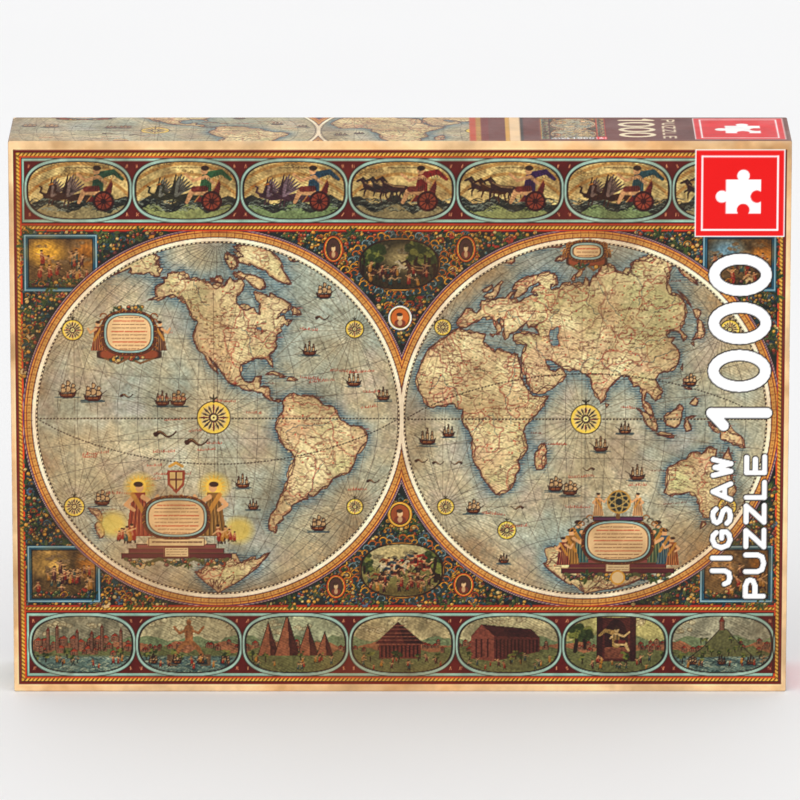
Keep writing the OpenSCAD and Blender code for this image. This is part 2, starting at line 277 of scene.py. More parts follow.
# Coasts as (longitude, latitude), roughened when they are drawn.
COASTS = {
    "north_america": [(-168, 65.5), (-162, 66.5), (-166, 68.3), (-156.5, 71.3), (-141, 69.7), (-128, 70.5),
        (-115, 68), (-102, 67.8), (-94, 72), (-90, 69), (-82, 69.5), (-81.5, 67.5), (-87, 64), (-93, 62),
        (-94.5, 59), (-92.5, 57), (-82.3, 55.2), (-82, 52.8), (-80, 51.3), (-79, 54), (-76.5, 56.5),
        (-78.5, 58.8), (-77.5, 62.4), (-70, 60.5), (-67, 58.5), (-64.5, 60.3), (-61.5, 57), (-55.7, 52.5),
        (-60, 50.2), (-66, 50.2), (-69.5, 48), (-64.5, 48.8), (-65, 46.5), (-61, 45.6), (-65.5, 43.6),
        (-67, 45), (-70, 43.7), (-70, 41.8), (-74, 40.5), (-76, 37), (-75.6, 35.3), (-81.3, 31.5),
        (-80.2, 27), (-80.5, 25.2), (-82, 27), (-83, 29.2), (-89, 30.3), (-91.5, 29.3), (-97.3, 27.5),
        (-97.7, 22), (-96, 19), (-94.3, 18.2), (-91.8, 18.7), (-90.4, 21), (-87, 21.5), (-88.5, 16),
        (-84, 15.8), (-83.3, 14), (-83.8, 11), (-81.8, 9), (-79.5, 9.5), (-77.5, 8.5), (-79.5, 8),
        (-83.5, 9), (-85.8, 10.5), (-87.5, 13), (-91.5, 14), (-99.5, 16.7), (-105.5, 20), (-108.8, 25.5),
        (-112.5, 29.5), (-114.8, 31.6), (-112.8, 28.4), (-109.5, 23), (-112, 24.8), (-114.8, 28),
        (-117.2, 32.6), (-120.6, 34.6), (-122.5, 37.5), (-124.3, 40.3), (-124, 46), (-122.8, 49),
        (-127.5, 51), (-130.5, 54.5), (-134, 57.5), (-144, 60), (-151.5, 59.2), (-158, 56), (-163, 54.8),
        (-158, 57.5), (-162, 58.7), (-165.5, 61), (-161, 64.3)],
    "south_america": [(-77.5, 8.5), (-75.5, 10.7), (-71.5, 12.3), (-68, 10.7), (-62, 10.7), (-57, 6),
        (-52, 5), (-50, 1.5), (-48.5, -0.8), (-44.5, -2.7), (-40, -2.9), (-35, -6.5), (-34.9, -8.5),
        (-39, -14), (-39.2, -17.8), (-41, -22), (-48, -25.5), (-48.7, -28.5), (-54.5, -34.8), (-58.2, -34),
        (-57, -36.5), (-62.2, -39), (-65, -41), (-63.7, -42.7), (-67.5, -46.5), (-65.8, -48), (-69, -51),
        (-66, -55), (-71, -54.5), (-74.5, -51.5), (-75.5, -47), (-73.5, -44), (-73.5, -39.5), (-71.5, -29),
        (-70.3, -18.4), (-76, -14), (-79.7, -7.5), (-81.2, -5), (-79.8, 0.9), (-77.3, 3.8)],
    "greenland": [(-73, 78.2), (-67, 80.5), (-45, 82.8), (-32, 83.5), (-12, 81.5), (-18, 79), (-22, 72),
        (-30, 68.2), (-38, 65.8), (-43.3, 60), (-48, 61), (-53.5, 67), (-51, 69.5), (-58, 75.3)],
    "baffin": [(-61.5, 66.6), (-65, 63), (-71, 62.8), (-78, 70), (-88, 71), (-89, 73.5), (-72, 71.3)],
    "victoria": [(-105, 69.2), (-117, 70), (-118, 72), (-108, 73), (-102, 71)],
    "ellesmere": [(-90, 76.5), (-78, 76.5), (-65, 81.5), (-80, 83), (-92, 81.5)],
    "newfoundland": [(-59.2, 47.7), (-53.3, 46.8), (-53, 48.5), (-55.8, 51.3)],
    "cuba": [(-84.8, 21.9), (-82.5, 23.1), (-79, 22.8), (-74.3, 20.2), (-77.5, 19.9), (-78, 20.8)],
    "hispaniola": [(-74.3, 18.4), (-71, 17.8), (-68.5, 18.3), (-73, 19.9)],
    "new_zealand_north": [(172.7, -34.5), (178.3, -37.8), (175.3, -41.5), (173.8, -39.3)],
    "new_zealand_south": [(172.7, -40.6), (174.2, -41.8), (170.7, -45.9), (166.5, -46)],
    "africa": [(-17, 14.7), (-13, 9), (-8, 4.5), (-4, 5.2), (4.5, 6.3), (6, 4.3), (9, 4.3), (9, -1.5),
        (12, -5), (13.5, -8.5), (12, -17), (14.5, -22.5), (15.5, -28), (18.5, -34.3), (26, -33.8),
        (31, -30), (33, -26), (35.4, -23.8), (35, -20), (40.5, -15), (39, -6), (41.5, -1.8), (46, 2.5),
        (51.3, 11.8), (47, 11.2), (43.2, 11.5), (40, 15), (37.3, 19), (35.5, 24), (32.5, 30), (32.3, 31.3),
        (25, 31.7), (20, 32), (19.5, 30.3), (15.5, 32.3), (11, 33.5), (10.5, 37), (5, 36.8), (-1, 35.7),
        (-5.8, 35.8), (-9.5, 31), (-13, 27.8), (-16, 23.5), (-16.5, 19)],
    "madagascar": [(49.3, -12), (50.4, -15.8), (47.2, -25), (44, -25), (43.5, -22), (44.5, -16.3)],
    "eurasia": [(-9, 37), (-9.3, 43), (-1.5, 43.4), (-1.2, 46), (-4.6, 48.4), (1.6, 50.8), (4.5, 52.8),
        (8.2, 53.7), (8.2, 57), (10.6, 57.7), (10.8, 54.3), (19, 54.5), (21, 57), (24, 59.3), (29.5, 60),
        (22.5, 60.2), (21.5, 63), (25.3, 65), (22, 65.7), (17.3, 61.8), (18.8, 60), (16.3, 56.5),
        (13, 55.5), (11, 59), (7.5, 58), (5, 61), (15, 68.2), (26, 71.1), (41, 67), (34, 66.7),
        (37.5, 64), (44, 66), (44.5, 68.3), (54, 68.5), (67, 69), (69, 72.8), (73, 71), (73, 68),
        (77, 72), (87, 75), (104.5, 77.6), (113, 75.5), (108, 73.3), (129, 71), (140, 72.6), (160, 69.7),
        (180, 68.8), (190, 66), (187, 64.5), (179, 64.7), (177, 62.5), (170, 60), (163.5, 61),
        (162.5, 57.5), (157, 51), (156, 56.5), (160, 60.5), (157, 61.7), (142.5, 59.2), (135.5, 54.6),
        (141, 53), (140, 48.5), (133, 42.8), (127.5, 39.8), (129.4, 36), (126.3, 34.5), (126.7, 37.8),
        (124.5, 39.8), (121.8, 40.8), (118, 39), (119, 37.3), (122.5, 37), (119.3, 35), (121.8, 31.5),
        (121.5, 28.5), (118.5, 24.5), (114.3, 22.4), (108.5, 21.8), (105.8, 19), (109.2, 13), (105, 8.7),
        (102.5, 12.2), (100.8, 13.4), (99.3, 9.3), (103.4, 4), (104, 1.4), (101, 3), (98.5, 8), (98.7, 12),
        (97.5, 16.5), (94.3, 16), (92, 21.5), (88.5, 21.8), (82.3, 16.5), (80.2, 13.3), (79.8, 10.3),
        (77.5, 8.1), (73, 17), (72.7, 21), (68.5, 23.5), (66.5, 25.3), (57, 26.8), (50.5, 29.8), (48, 30),
        (48.5, 28), (51.5, 24.5), (54, 24.2), (56.3, 26), (59.8, 22.5), (55, 17.3), (45, 12.9),
        (43.3, 13), (39, 21), (35, 28), (34.3, 31.3), (36, 36.3), (27.3, 37), (26.3, 39.8), (29.5, 41.1),
        (35, 42), (41.5, 41.5), (37.5, 45), (39, 47.2), (33.5, 44.5), (31, 46.6), (28, 43), (26, 40.8),
        (23.8, 40), (24, 38), (22.5, 36.6), (19.4, 41.5), (13.6, 45.7), (12.4, 44.3), (18.4, 40.2),
        (16.3, 38), (15.7, 40), (10.2, 43.7), (3.3, 43.3), (3, 41.8), (-0.3, 39.5), (-2.2, 36.8),
        (-5.5, 36.1)],
    "britain": [(-5.5, 50.1), (1.3, 51.2), (1.6, 52.8), (-2, 56.5), (-3.2, 58.6), (-5.2, 58.5), (-4.8, 54.8),
        (-3, 53.5), (-5.2, 51.8)],
    "ireland": [(-10, 51.6), (-6.3, 52.2), (-5.6, 54.6), (-8, 55.2)],
    "iceland": [(-24, 65.5), (-18.5, 63.4), (-14, 64.8), (-16, 66.4)],
    "svalbard": [(11, 79), (16, 76.7), (22, 78), (27, 80), (18, 80.2)],
    "novaya_zemlya": [(52, 71), (57, 70.6), (56, 73), (68, 76.8), (60, 76.2), (54, 73.5)],
    "sicily": [(12.5, 37.8), (15.2, 36.7), (15.5, 38.2)],
    "honshu": [(131, 34), (136, 33.6), (140, 35), (142, 39.5), (141, 41.4), (136.5, 36.5)],
    "hokkaido": [(140, 41.8), (143.3, 42), (145.5, 43.3), (141.8, 45.4)],
    "kyushu": [(130, 33), (131.8, 33.2), (131, 31.2)],
    "sakhalin": [(142, 46), (143.5, 49.5), (142.8, 54.3), (142, 51)],
    "taiwan": [(120.2, 23), (121, 22), (121.9, 25)],
    "luzon": [(120.5, 14), (124, 13), (122, 16), (122, 18.5), (120.6, 18.3)],
    "mindanao": [(122, 7), (125.5, 6), (126.5, 8), (125.3, 9.7)],
    "borneo": [(109, 1.5), (110.3, -2.8), (114.5, -4), (118, 1), (119, 5), (117, 7), (113, 3.5)],
    "sumatra": [(95.3, 5.6), (98.5, 3.8), (106, -3), (105.7, -5.9), (102, -4), (98.7, 1.7)],
    "java": [(105.3, -6.8), (114.5, -7.7), (114.4, -8.7), (108, -7.8)],
    "sulawesi": [(119, -3), (120, 1), (125, 1.5), (121, 0), (123, -4.5), (120.4, -5.6)],
    "new_guinea": [(131, -0.8), (135, -3.3), (138, -1.7), (147.8, -6), (150.8, -10.3), (143, -9), (138, -8),
        (137.8, -5.3), (133, -4)],
    "australia": [(113.7, -22.5), (115.7, -31.8), (115.1, -34.3), (118, -35), (123.5, -33.9), (129, -31.6),
        (134, -32.8), (138, -35.6), (140.5, -38), (146.3, -39), (150, -37.3), (153, -31), (153.3, -26),
        (146.3, -19), (145.3, -15), (142.5, -10.8), (140.8, -17.5), (137, -16), (136.8, -12.2),
        (132.5, -11.4), (129.5, -15), (125, -14.3), (122.2, -18), (117, -20.7)],
    "tasmania": [(144.7, -40.8), (148.3, -41), (147, -43.6)],
    "ceylon": [(79.8, 8), (81.8, 7.5), (80.5, 6)],
    "southern_land_west": [(-60, -64), (-66, -69), (-80, -73), (-125, -74), (-150, -77), (-150, -84),
                           (-60, -84)],
    "southern_land_east": [(20, -70), (50, -67), (90, -66), (130, -67), (150, -69), (150, -82), (20, -82)],
}
INLAND_SEAS = [[(47.5, 45), (51.5, 46.8), (53, 45), (53.8, 40), (53.8, 37), (49.5, 37.6), (47.3, 43)],
    [(28.5, 42), (33, 42.2), (41, 41.8), (39, 44.5), (34, 44.3), (30.5, 46)],
    [(-88, 47), (-84.5, 46.5), (-87.5, 42), (-86, 45.5), (-82, 43), (-79, 43.5), (-83, 42.2), (-82, 45.5)]]
RIVERS = [[(-50, -0.5), (-58, -3), (-66, -3.5), (-73, -4.5), (-76, -8)], [(-58, -34), (-58, -27), (-55, -20)],
    [(-90, 29.5), (-91, 35), (-90, 41), (-95, 46)], [(-65, -41), (-70, -39)],
    [(-135, 69), (-125, 62), (-116, 58)],
    [(31, 31), (33, 22), (32, 15), (31, 5), (33, -2)], [(6, 4.5), (4, 12), (-4, 17), (-9, 11)],
    [(12, -6), (17, -2), (24, 2), (26, -8)], [(48, 46), (45, 50), (50, 55), (38, 57)], [(31, 46.5), (33, 52)],
    [(73, 66), (70, 60), (76, 54), (84, 50)], [(83, 70), (88, 60), (94, 52)],
    [(126, 72), (122, 62), (110, 55)],
    [(140, 53), (128, 50), (117, 50)], [(121, 31.5), (110, 30), (102, 28), (96, 33)],
    [(118, 38), (108, 38), (98, 35)],
    [(88.5, 22), (82, 26), (77, 30)], [(67.5, 24), (72, 31), (80, 32)], [(48, 30), (42, 35), (40, 38)],
    [(28.5, 45), (18, 48), (10, 48)]]
RANGES = [[(-150, 62), (-130, 58), (-118, 50), (-112, 42), (-106, 34), (-102, 24)],
          [(-84, 35), (-76, 41), (-70, 45)],
    [(-75, 8), (-78, 0), (-76, -10), (-70, -18), (-70, -30), (-72, -42), (-73, -50)], [(-5, 33), (3, 35)],
    [(7, 45), (14, 47), (24, 46)], [(42, 43), (50, 37), (60, 36), (70, 37), (76, 36)],
    [(59, 50), (59, 60), (63, 67)],
    [(76, 34), (84, 28.5), (92, 28), (98, 27)], [(80, 43), (90, 47), (100, 50), (112, 53), (125, 56)],
    [(30, -30), (36, -12), (37, 2), (39, 12)], [(148, -35), (146, -22)], [(10, 61), (18, 68)],
    [(36, 52), (45, 55)]]


def roughen(points, rng, size):
    """Breaks each stretch of an outline in halves, pushed sideways at random, down to about size."""
    out = [np.asarray(p, float) for p in points]
    for _ in range(5):
        new = []
        for a, b in zip(out, out[1:] + out[:1]):
            new.append(a)
            gap = b - a
            length = math.hypot(*gap)
            if length > size:
                side = np.array([-gap[1], gap[0]])
                new.append((a + b) / 2 + side * rng.uniform(-0.17, 0.17))
        out = new
    return out


class Hemisphere:
    """One half of the world in an azimuthal equidistant view from over the equator."""

    def __init__(self, u, v, radius, longitude):
        self.u, self.v, self.radius, self.longitude = u, v, radius, longitude

    def place(self, lon, lat):
        """Millimetres on the sheet, and how far from the middle as a share of the radius."""
        p, q = math.radians(lat), math.radians(lon - self.longitude)
        c = math.acos(max(-1, min(1, math.cos(p) * math.cos(q))))
        k = c / math.sin(c) if c > 1e-6 else 1.0
        x, y = k * math.cos(p) * math.sin(q) / (math.pi / 2), k * math.sin(p) / (math.pi / 2)
        return (self.u + self.radius * x, self.v + self.radius * y), c / (math.pi / 2)

    def sees(self, points):
        return any(self.place(*p)[1] < 1.0 for p in points)

    def line(self, points):
        return [self.place(*p)[0] for p in points]

# ------------------------------------------------------------ small drawings

INNER_U, INNER_LOW, INNER_HIGH = 178.9, 7.5, 261.9  # inside of the outer border
BAND_LOW, BAND_HIGH = 39.3, 230.3  # inner edges of the two bands of ovals
MAP_LOW, MAP_HIGH = 43.2, 225.9
DISC_R = 86.0
DISC_WINDOW = 94.5  # half a side of the window round a hemisphere
WEST = Hemisphere(-86.7, 134.9, DISC_R, -110)
EAST = Hemisphere(88.2, 134.6, DISC_R, 70)


def mottle(p, where, amount, scale, rng):
    """Uneven tone, as old paper has."""
    shape = p.rgb[where].shape[:2]
    p.shade_by(where, 1 + amount * noise(shape, scale / p.step, rng, 4))


def tint(p, where, colour, amount, scale, rng, cover=1.0):
    """Soft patches of another colour."""
    shape = p.rgb[where].shape[:2]
    a = np.clip(noise(shape, scale / p.step, rng, 4) * 1.6, 0, 1) * amount * cover
    p.lay(where, a, colour)


def engrave(p, where, amount, rng):
    """Speckle and slanted hatching, which gives flat colours an engraved look."""
    shape = p.rgb[where].shape[:2]
    speck = blur(rng.normal(0, 1, shape).astype(np.float32), 1) * 2.2
    j, i = np.mgrid[0:shape[0], 0:shape[1]]
    wobble = noise(shape, 4 / p.step, rng, 2) * 1.5
    lines = np.sin((i * 0.8 + j * 1.6) * p.step * 3.1 + wobble)
    lines = lines * np.clip(noise(shape, 7 / p.step, rng) + 0.4, 0, 1)
    p.shade_by(where, 1 + amount * (speck + 0.9 * lines))


def darken(p, u0, v0, u1, v1, amount, rng):
    """Engraves a finished scene and takes it down in brightness."""
    where = p.window(u0, v0, u1, v1)[0]
    engrave(p, where, 0.16, rng)
    p.shade_by(where, np.full(p.rgb[where].shape[:2], amount, np.float32))


def twist(p, start, end, rng, width=1.3, pitch=1.9):
    """Slanted dark and pale specks along a straight stretch of gold."""
    n = int(math.dist(start, end) / pitch)
    du, dv = (end[0] - start[0]) / n, (end[1] - start[1]) / n
    su, sv = -dv / pitch * width / 2, du / pitch * width / 2
    for k in range(n):
        u, v = start[0] + (k + 0.5) * du, start[1] + (k + 0.5) * dv
        p.stroke([(u - su - du / 3, v - sv - dv / 3), (u + su + du / 3, v + sv + dv / 3)], 0.55,
                 (104, 60, 32), rng.uniform(0.6, 1.0))
        u, v = u + du / 2, v + dv / 2
        p.stroke([(u - su / 2, v - sv / 2), (u + su / 2, v + sv / 2)], 0.4, (228, 186, 106), 0.8)


def braid(p, u0, v0, u1, v1, rng):
    """A border: a dark red line, a gold twist with dark specks and an orange line."""
    for m, width, colour in ((0, 1.2, DARK_RED), (1.2, 0.5, INK), (1.5, 1.5, GOLD), (3.0, 0.75, ORANGE_RED)):
        p.frame(u0 + m, v0 + m, u1 - m, v1 - m, width, colour)
    a, b, c, d = u0 + 2.2, v0 + 2.2, u1 - 2.2, v1 - 2.2
    for start, end in (((a, b), (c, b)), ((a, d), (c, d)), ((a, b), (a, d)), ((c, b), (c, d))):
        twist(p, start, end, rng)


def strip(p, u0, v0, u1, v1, rng):
    """A level border between two fields, with the same twist."""
    h = v1 - v0
    for share, colour in ((0, DARK_RED), (0.12, ORANGE_RED), (0.26, INK), (0.33, GOLD)):
        p.box(u0, v0 + share * h, u1, v1 - share * h, colour)
    twist(p, (u0, (v0 + v1) / 2), (u1, (v0 + v1) / 2), rng, 0.3 * h)


def scribble(p, u0, v0, u1, v1, rows, colour, rng, strength=0.6, width=0.3):
    """Rows of small dashes, where the original has fine writing."""
    for k in range(rows):
        v = v1 - (k + 0.5) * (v1 - v0) / rows
        u = u0 + rng.uniform(0, 0.8)
        while u < u1:
            length = rng.uniform(0.4, 2.4)
            p.stroke([(u, v), (min(u + length, u1), v + rng.uniform(-0.1, 0.1))], width, colour, strength)
            u += length + rng.uniform(0.3, 0.8)


def label(p, u, v, length, colour, rng, turn, height):
    """A place label: a row of small marks that are no letters."""
    c, s = math.cos(turn), math.sin(turn)
    x = -length / 2
    while x < length / 2:
        a, b = u + x * c, v + x * s
        k = rng.uniform(0.3, 1.0) * height
        lean = rng.uniform(-0.25, 0.25)
        p.stroke([(a, b), (a - s * k + c * lean, b + c * k + s * lean)], 0.28, colour, 0.75)
        if rng.uniform() < 0.4:
            p.stroke([(a, b), (a + 0.5 * c, b + 0.5 * s)], 0.25, colour, 0.6)
        x += rng.uniform(0.55, 0.95)


def jot(p, u, v, colour, rng):
    """A few short strokes where the original has a letter."""
    for _ in range(3):
        a, b = rng.uniform(-0.7, 0.7, 2)
        p.stroke([(u + a, v - 0.7), (u + b, v + 0.7)], 0.3, colour, 0.7)


def rose(p, u, v, r):
    """A compass rose: a gold ring, dark rays, a star and a small fleur to the north."""
    p.oval(u, v, r, r, (226, 190, 84), 0.95)
    p.oval(u, v, r, r, INK, 0.9, line=0.45)
    p.oval(u, v, r * 0.78, r * 0.78, (206, 178, 122), 0.9)
    for k in range(16):
        a = k * math.pi / 8
        n = 0.94 if k % 2 == 0 else 0.8
        for lean, tone in ((0.13, (52, 36, 48)), (-0.13, (122, 44, 52) if k % 4 == 0 else (84, 74, 66))):
            p.fill([(u + q * r * math.cos(t), v + q * r * math.sin(t))
                    for q, t in ((0.16, a), (0.6, a + lean), (n, a))], tone, 0.95)
    for q, tone, strength in ((0.3, (70, 48, 50), 0.95), (0.18, (222, 196, 130), 1.0), (0.07, INK, 1.0)):
        p.oval(u, v, q * r, q * r, tone, strength)
    limbs(p, placer(u, v, r, r), r, (
        ([(0, 1), (0, 1.45)], 0.16, (58, 52, 40), 0.95, 0.05),
        ([(-0.2, 1.26), (0, 1.12), (0.2, 1.26)], 0.1, (58, 52, 40), 0.95)))


def ship(p, u, v, s, rng):
    """A sailing ship of size s, drawn as an engraver would."""
    way = rng.choice([-1, 1])
    dark, sail = (52, 30, 24), (186, 150, 108)
    at = placer(u, v, way * s, s)
    for _ in range(5):
        w = rng.uniform(0.5, 1.5)
        a = v - rng.uniform(0.2, 0.55) * s
        p.stroke([(u - w * s, a), (u + w * s, a + rng.uniform(-0.08, 0.08) * s)], 0.4, (56, 74, 80), 0.75)
    hull = [(-1, 0.45), (-0.85, -0.1), (-0.4, -0.32), (0.5, -0.32), (0.85, -0.05), (1, 0.5), (0.7, 0.22),
            (-0.7, 0.14)]
    hull = [at(*q) for q in hull]
    p.fill(hull, (86, 44, 30), 0.97)
    p.stroke(hull + hull[:1], 0.35, dark, 0.9)
    p.stroke([(u - 0.6 * s, v), (u + 0.6 * s, v)], 0.35, (176, 116, 70), 0.8)
    for mast, height in ((-0.55, 1.35), (0.02, 1.75), (0.58, 1.35)):
        p.stroke([at(mast, 0), at(mast, height)], 0.35, dark, 0.95)
        for low, high, half in ((0.2, 0.6, 0.32), (0.64, 0.94, 0.22)):
            a, b = low * height, high * height
            belly = 0.16 * way
            points = [(mast - half * 0.6, a), (mast - half * 0.5, b), (mast + half * 0.6 + belly * 0.3, b),
                      (mast + half * 0.8 + belly, (a + b) / 2), (mast + half * 0.6, a)]
            points = [at(*q) for q in points]
            p.fill(points, sail, 0.95)
            p.stroke(points + points[:1], 0.34, dark, 0.85)
    p.stroke([at(1, 0.45), at(1.5, 0.85)], 0.3, dark, 0.85)


def beast(p, u, v, s, rng):
    """A sea creature: an arched back, a head and a tail fin."""
    way = rng.choice([-1, 1])
    colour = (74, 46, 32)
    spine = [(u + way * s * (t - 0.5) * 2, v + s * 0.35 * math.sin(t * 6.5) * (1 - 0.4 * t))
             for t in np.linspace(0, 1, 9)]
    p.stroke(spine, 0.5 * s, colour, 0.9, 0.12 * s)
    end = spine[-1]
    p.stroke([end, (end[0] + way * 0.3 * s, end[1] + 0.35 * s)], 0.18 * s, colour, 0.9)
    p.oval(spine[0][0], spine[0][1] + 0.1 * s, 0.3 * s, 0.24 * s, colour, 0.9)
    p.stroke([(a, b + 0.08 * s) for a, b in spine[1:6]], 0.25, (196, 160, 110), 0.7)


def figure(p, u, v, s, rng):
    """A small generic person of height s: a body, a robe, limbs and a plain head."""
    light, dark = (206, 156, 108), (58, 36, 28)
    lean = rng.uniform(-0.22, 0.22)
    cloth = [(142, 48, 34), (54, 78, 72), (170, 116, 48), (82, 46, 44)][rng.choice([0, 1, 2, 3])]
    hip, chest = (u, v + 0.42 * s), (u + lean * s * 0.5, v + 0.72 * s)
    for side in (-1, 1):
        foot = (u + side * rng.uniform(0.05, 0.22) * s, v)
        p.stroke([hip, foot], 0.17 * s, dark, 0.9, 0.09 * s)
    p.stroke([(u, v + 0.25 * s), hip, chest], 0.3 * s, cloth, 0.95, 0.24 * s)
    p.stroke([(hip[0] - 0.04 * s, hip[1]), (chest[0] - 0.05 * s, chest[1])], 0.1 * s, light, 0.6)
    for side in (-1, 1):
        hand = (chest[0] + side * rng.uniform(0.15, 0.42) * s, chest[1] + rng.uniform(-0.3, 0.3) * s)
        p.stroke([chest, hand], 0.1 * s, light, 0.9, 0.07 * s)
    p.oval(chest[0] + lean * 0.2 * s, chest[1] + 0.2 * s, 0.09 * s, 0.11 * s, light, 0.95)
    p.oval(chest[0] + lean * 0.2 * s, chest[1] + 0.26 * s, 0.1 * s, 0.07 * s, dark, 0.9)


def horse(p, u, v, s, way, rng, colour):
    """A rearing animal of length 2 s, facing way."""
    at = placer(u, v, way * s, s)
    limbs(p, at, s, (
        ([(-0.8, 0.35), (0, 0.42), (0.55, 0.62)], 0.5, colour, 0.95, 0.42),
        ([(0.5, 0.6), (0.85, 1.05)], 0.3, colour, 0.95, 0.22),
        ([(0.82, 1.08), (1.15, 0.95)], 0.2, colour, 0.95, 0.14)))
    for x, y, x2, y2 in ((-0.8, 0.3, -1, -0.45), (-0.55, 0.25, -0.5, -0.5), (0.45, 0.5, 0.95, 0.3),
                         (0.5, 0.5, 0.7, -0.1)):
        knee = ((x + x2) / 2 + rng.uniform(0, 0.15), (y + y2) / 2)
        p.stroke([at(x, y), at(*knee), at(x2, y2)], 0.16 * s, colour, 0.95, 0.08 * s)
    limbs(p, at, s, (
        ([(-0.95, 0.4), (-1.25, 0.1), (-1.3, -0.2)], 0.14, BARK, 0.9, 0.05),
        ([(-0.7, 0.5), (0, 0.56), (0.6, 0.85)], 0.1, (196, 158, 104), 0.65),
        ([(0.45, 0.85), (0.75, 1.2)], 0.12, BARK, 0.9)))


def bird(p, u, v, s, way, colour):
    """A large bird: a body, a curved neck, raised wings and a tail."""
    at = placer(u, v, way * s, s)
    pale = tuple(60 + 0.9 * c for c in colour)
    limbs(p, at, s, (
        ([(-0.9, 0.05), (-0.3, -0.05), (0.5, 0.15)], 0.5, colour, 0.95, 0.36),
        ([(0.45, 0.15), (0.85, 0.4), (0.75, 0.75), (1, 0.9)], 0.2, colour, 0.95, 0.12),
        ([(0.98, 0.9), (1.22, 0.84)], 0.1, (190, 120, 50), 0.9)))
    for shift, tone in ((0.36, colour), (0.0, pale)):
        for k in range(6):
            tip = (-1.25 + 0.17 * k + shift, 0.72 + 0.16 * k)
            p.stroke([at(shift - 0.05, 0.15), at(0.5 * tip[0] + 0.1, 0.4 + 0.1 * k), at(*tip)], 0.26 * s,
                     tone, 0.95, 0.08 * s)
            p.stroke([at(shift - 0.15, 0.25), at(*tip)], 0.3, (44, 32, 30), 0.6)
    limbs(p, at, s, (
        ([(-0.9, 0.05), (-1.5, -0.1)], 0.25, colour, 0.95, 0.5),
        ([(-0.1, -0.2), (0, -0.6)], 0.1, colour, 0.9),
        ([(0.15, -0.2), (0.25, -0.6)], 0.1, colour, 0.9)))


def rider(p, u, v, s, way, cape, skin=SKIN):
    """A seated generic figure with bare arms, a blown cape and a plain helmet."""
    at = placer(u, v, way * s, s)
    limbs(p, at, s, (
        ([(-0.15, 0.7), (-0.55, 0.8), (-0.85, 0.55)], 0.24, cape, 0.97, 0.12),
        ([(0, 0.1), (-0.05, 0.6)], 0.42, cape, 0.97, 0.34),
        ([(0.02, 0.1), (0.45, 0.12), (0.62, -0.25)], 0.24, skin, 0.97, 0.12),
        ([(0, 0.22), (0.38, 0.2)], 0.2, (120, 50, 44), 0.9),
        ([(0, 0.62), (0.4, 0.5), (0.66, 0.72)], 0.13, skin, 0.97, 0.09),
        ([(-0.05, 0.62), (-0.3, 0.4)], 0.13, skin, 0.9, 0.1)))
    p.oval(*at(0.02, 0.84), 0.12 * s, 0.14 * s, skin, 0.97)
    p.oval(*at(0, 0.93), 0.14 * s, 0.09 * s, (70, 50, 36), 0.97)
    for k in range(5):
        p.stroke([at(-0.1 + 0.05 * k, 0.15), at(-0.14 + 0.06 * k, 0.58)], 0.28, (30, 30, 28), 0.6)
        p.stroke([at(-0.3 - 0.1 * k, 0.74), at(-0.36 - 0.1 * k, 0.6)], 0.28, (26, 30, 28), 0.6)


def standing(p, u, v, s, way, robe):
    """A standing robed generic figure of height s, turned towards way."""
    at = placer(u, v, way * s, s)
    skin = (212, 160, 112)
    robe_edge = [(-0.22, 0), (0.24, 0), (0.15, 0.5), (0.12, 0.8), (-0.1, 0.8), (-0.16, 0.45)]
    p.fill([at(*q) for q in robe_edge], robe, 0.97)
    for k in range(5):
        p.stroke([at(-0.16 + 0.08 * k, 0.02), at(-0.08 + 0.05 * k, 0.7)], 0.3, (34, 24, 22), 0.65)
        p.stroke([at(-0.13 + 0.08 * k, 0.02), at(-0.05 + 0.05 * k, 0.6)], 0.24, (226, 176, 110), 0.5)
    limbs(p, at, s, (
        ([(0.08, 0.72), (0.26, 0.6), (0.34, 0.74)], 0.09, skin, 0.95, 0.06),
        ([(-0.08, 0.72), (-0.22, 0.58), (-0.08, 0.48)], 0.09, skin, 0.95, 0.06),
        ([(-0.1, 0.76), (0.14, 0.36)], 0.08, (186, 130, 60), 0.9)))
    p.oval(*at(0.02, 0.89), 0.07 * s, 0.085 * s, skin, 0.97)
    p.oval(*at(0, 0.95), 0.085 * s, 0.05 * s, (66, 44, 32), 0.97)


def cloud(p, u, v, s, rng, colour):
    for _ in range(7):
        a, b = u + rng.uniform(-1, 1) * s, v + rng.uniform(-0.3, 0.3) * s
        r = rng.uniform(0.18, 0.4) * s
        p.oval(a, b, r, 0.7 * r, colour, 0.55, soft=0.4)
        p.oval(a, b, r, 0.7 * r, (110, 88, 60), 0.5, line=0.25)


def waves(p, u0, u1, v0, v1, rng, dark, light):
    """Short curved strokes, dark and light."""
    for _ in range(int((u1 - u0) * (v1 - v0) / 2.4)):
        u, v = rng.uniform(u0, u1), rng.uniform(v0, v1)
        w = rng.uniform(0.8, 2.2)
        colour = dark if rng.uniform() < 0.6 else light
        p.stroke([(u - w, v - 0.2), (u - w / 3, v + 0.35), (u + w / 3, v + 0.3), (u + w, v - 0.25)], 0.35,
                 colour, 0.75)


def tree(p, u, v, s, rng):
    p.stroke([(u, v), (u + rng.uniform(-0.1, 0.1) * s, v + 0.5 * s)], 0.14 * s, (58, 40, 28), 0.9)
    for _ in range(8):
        a, b = u + rng.uniform(-0.32, 0.32) * s, v + rng.uniform(0.45, 1.0) * s
        p.oval(a, b, 0.16 * s, 0.13 * s, (62, 72, 40) if rng.uniform() < 0.6 else (130, 130, 66), 0.85)


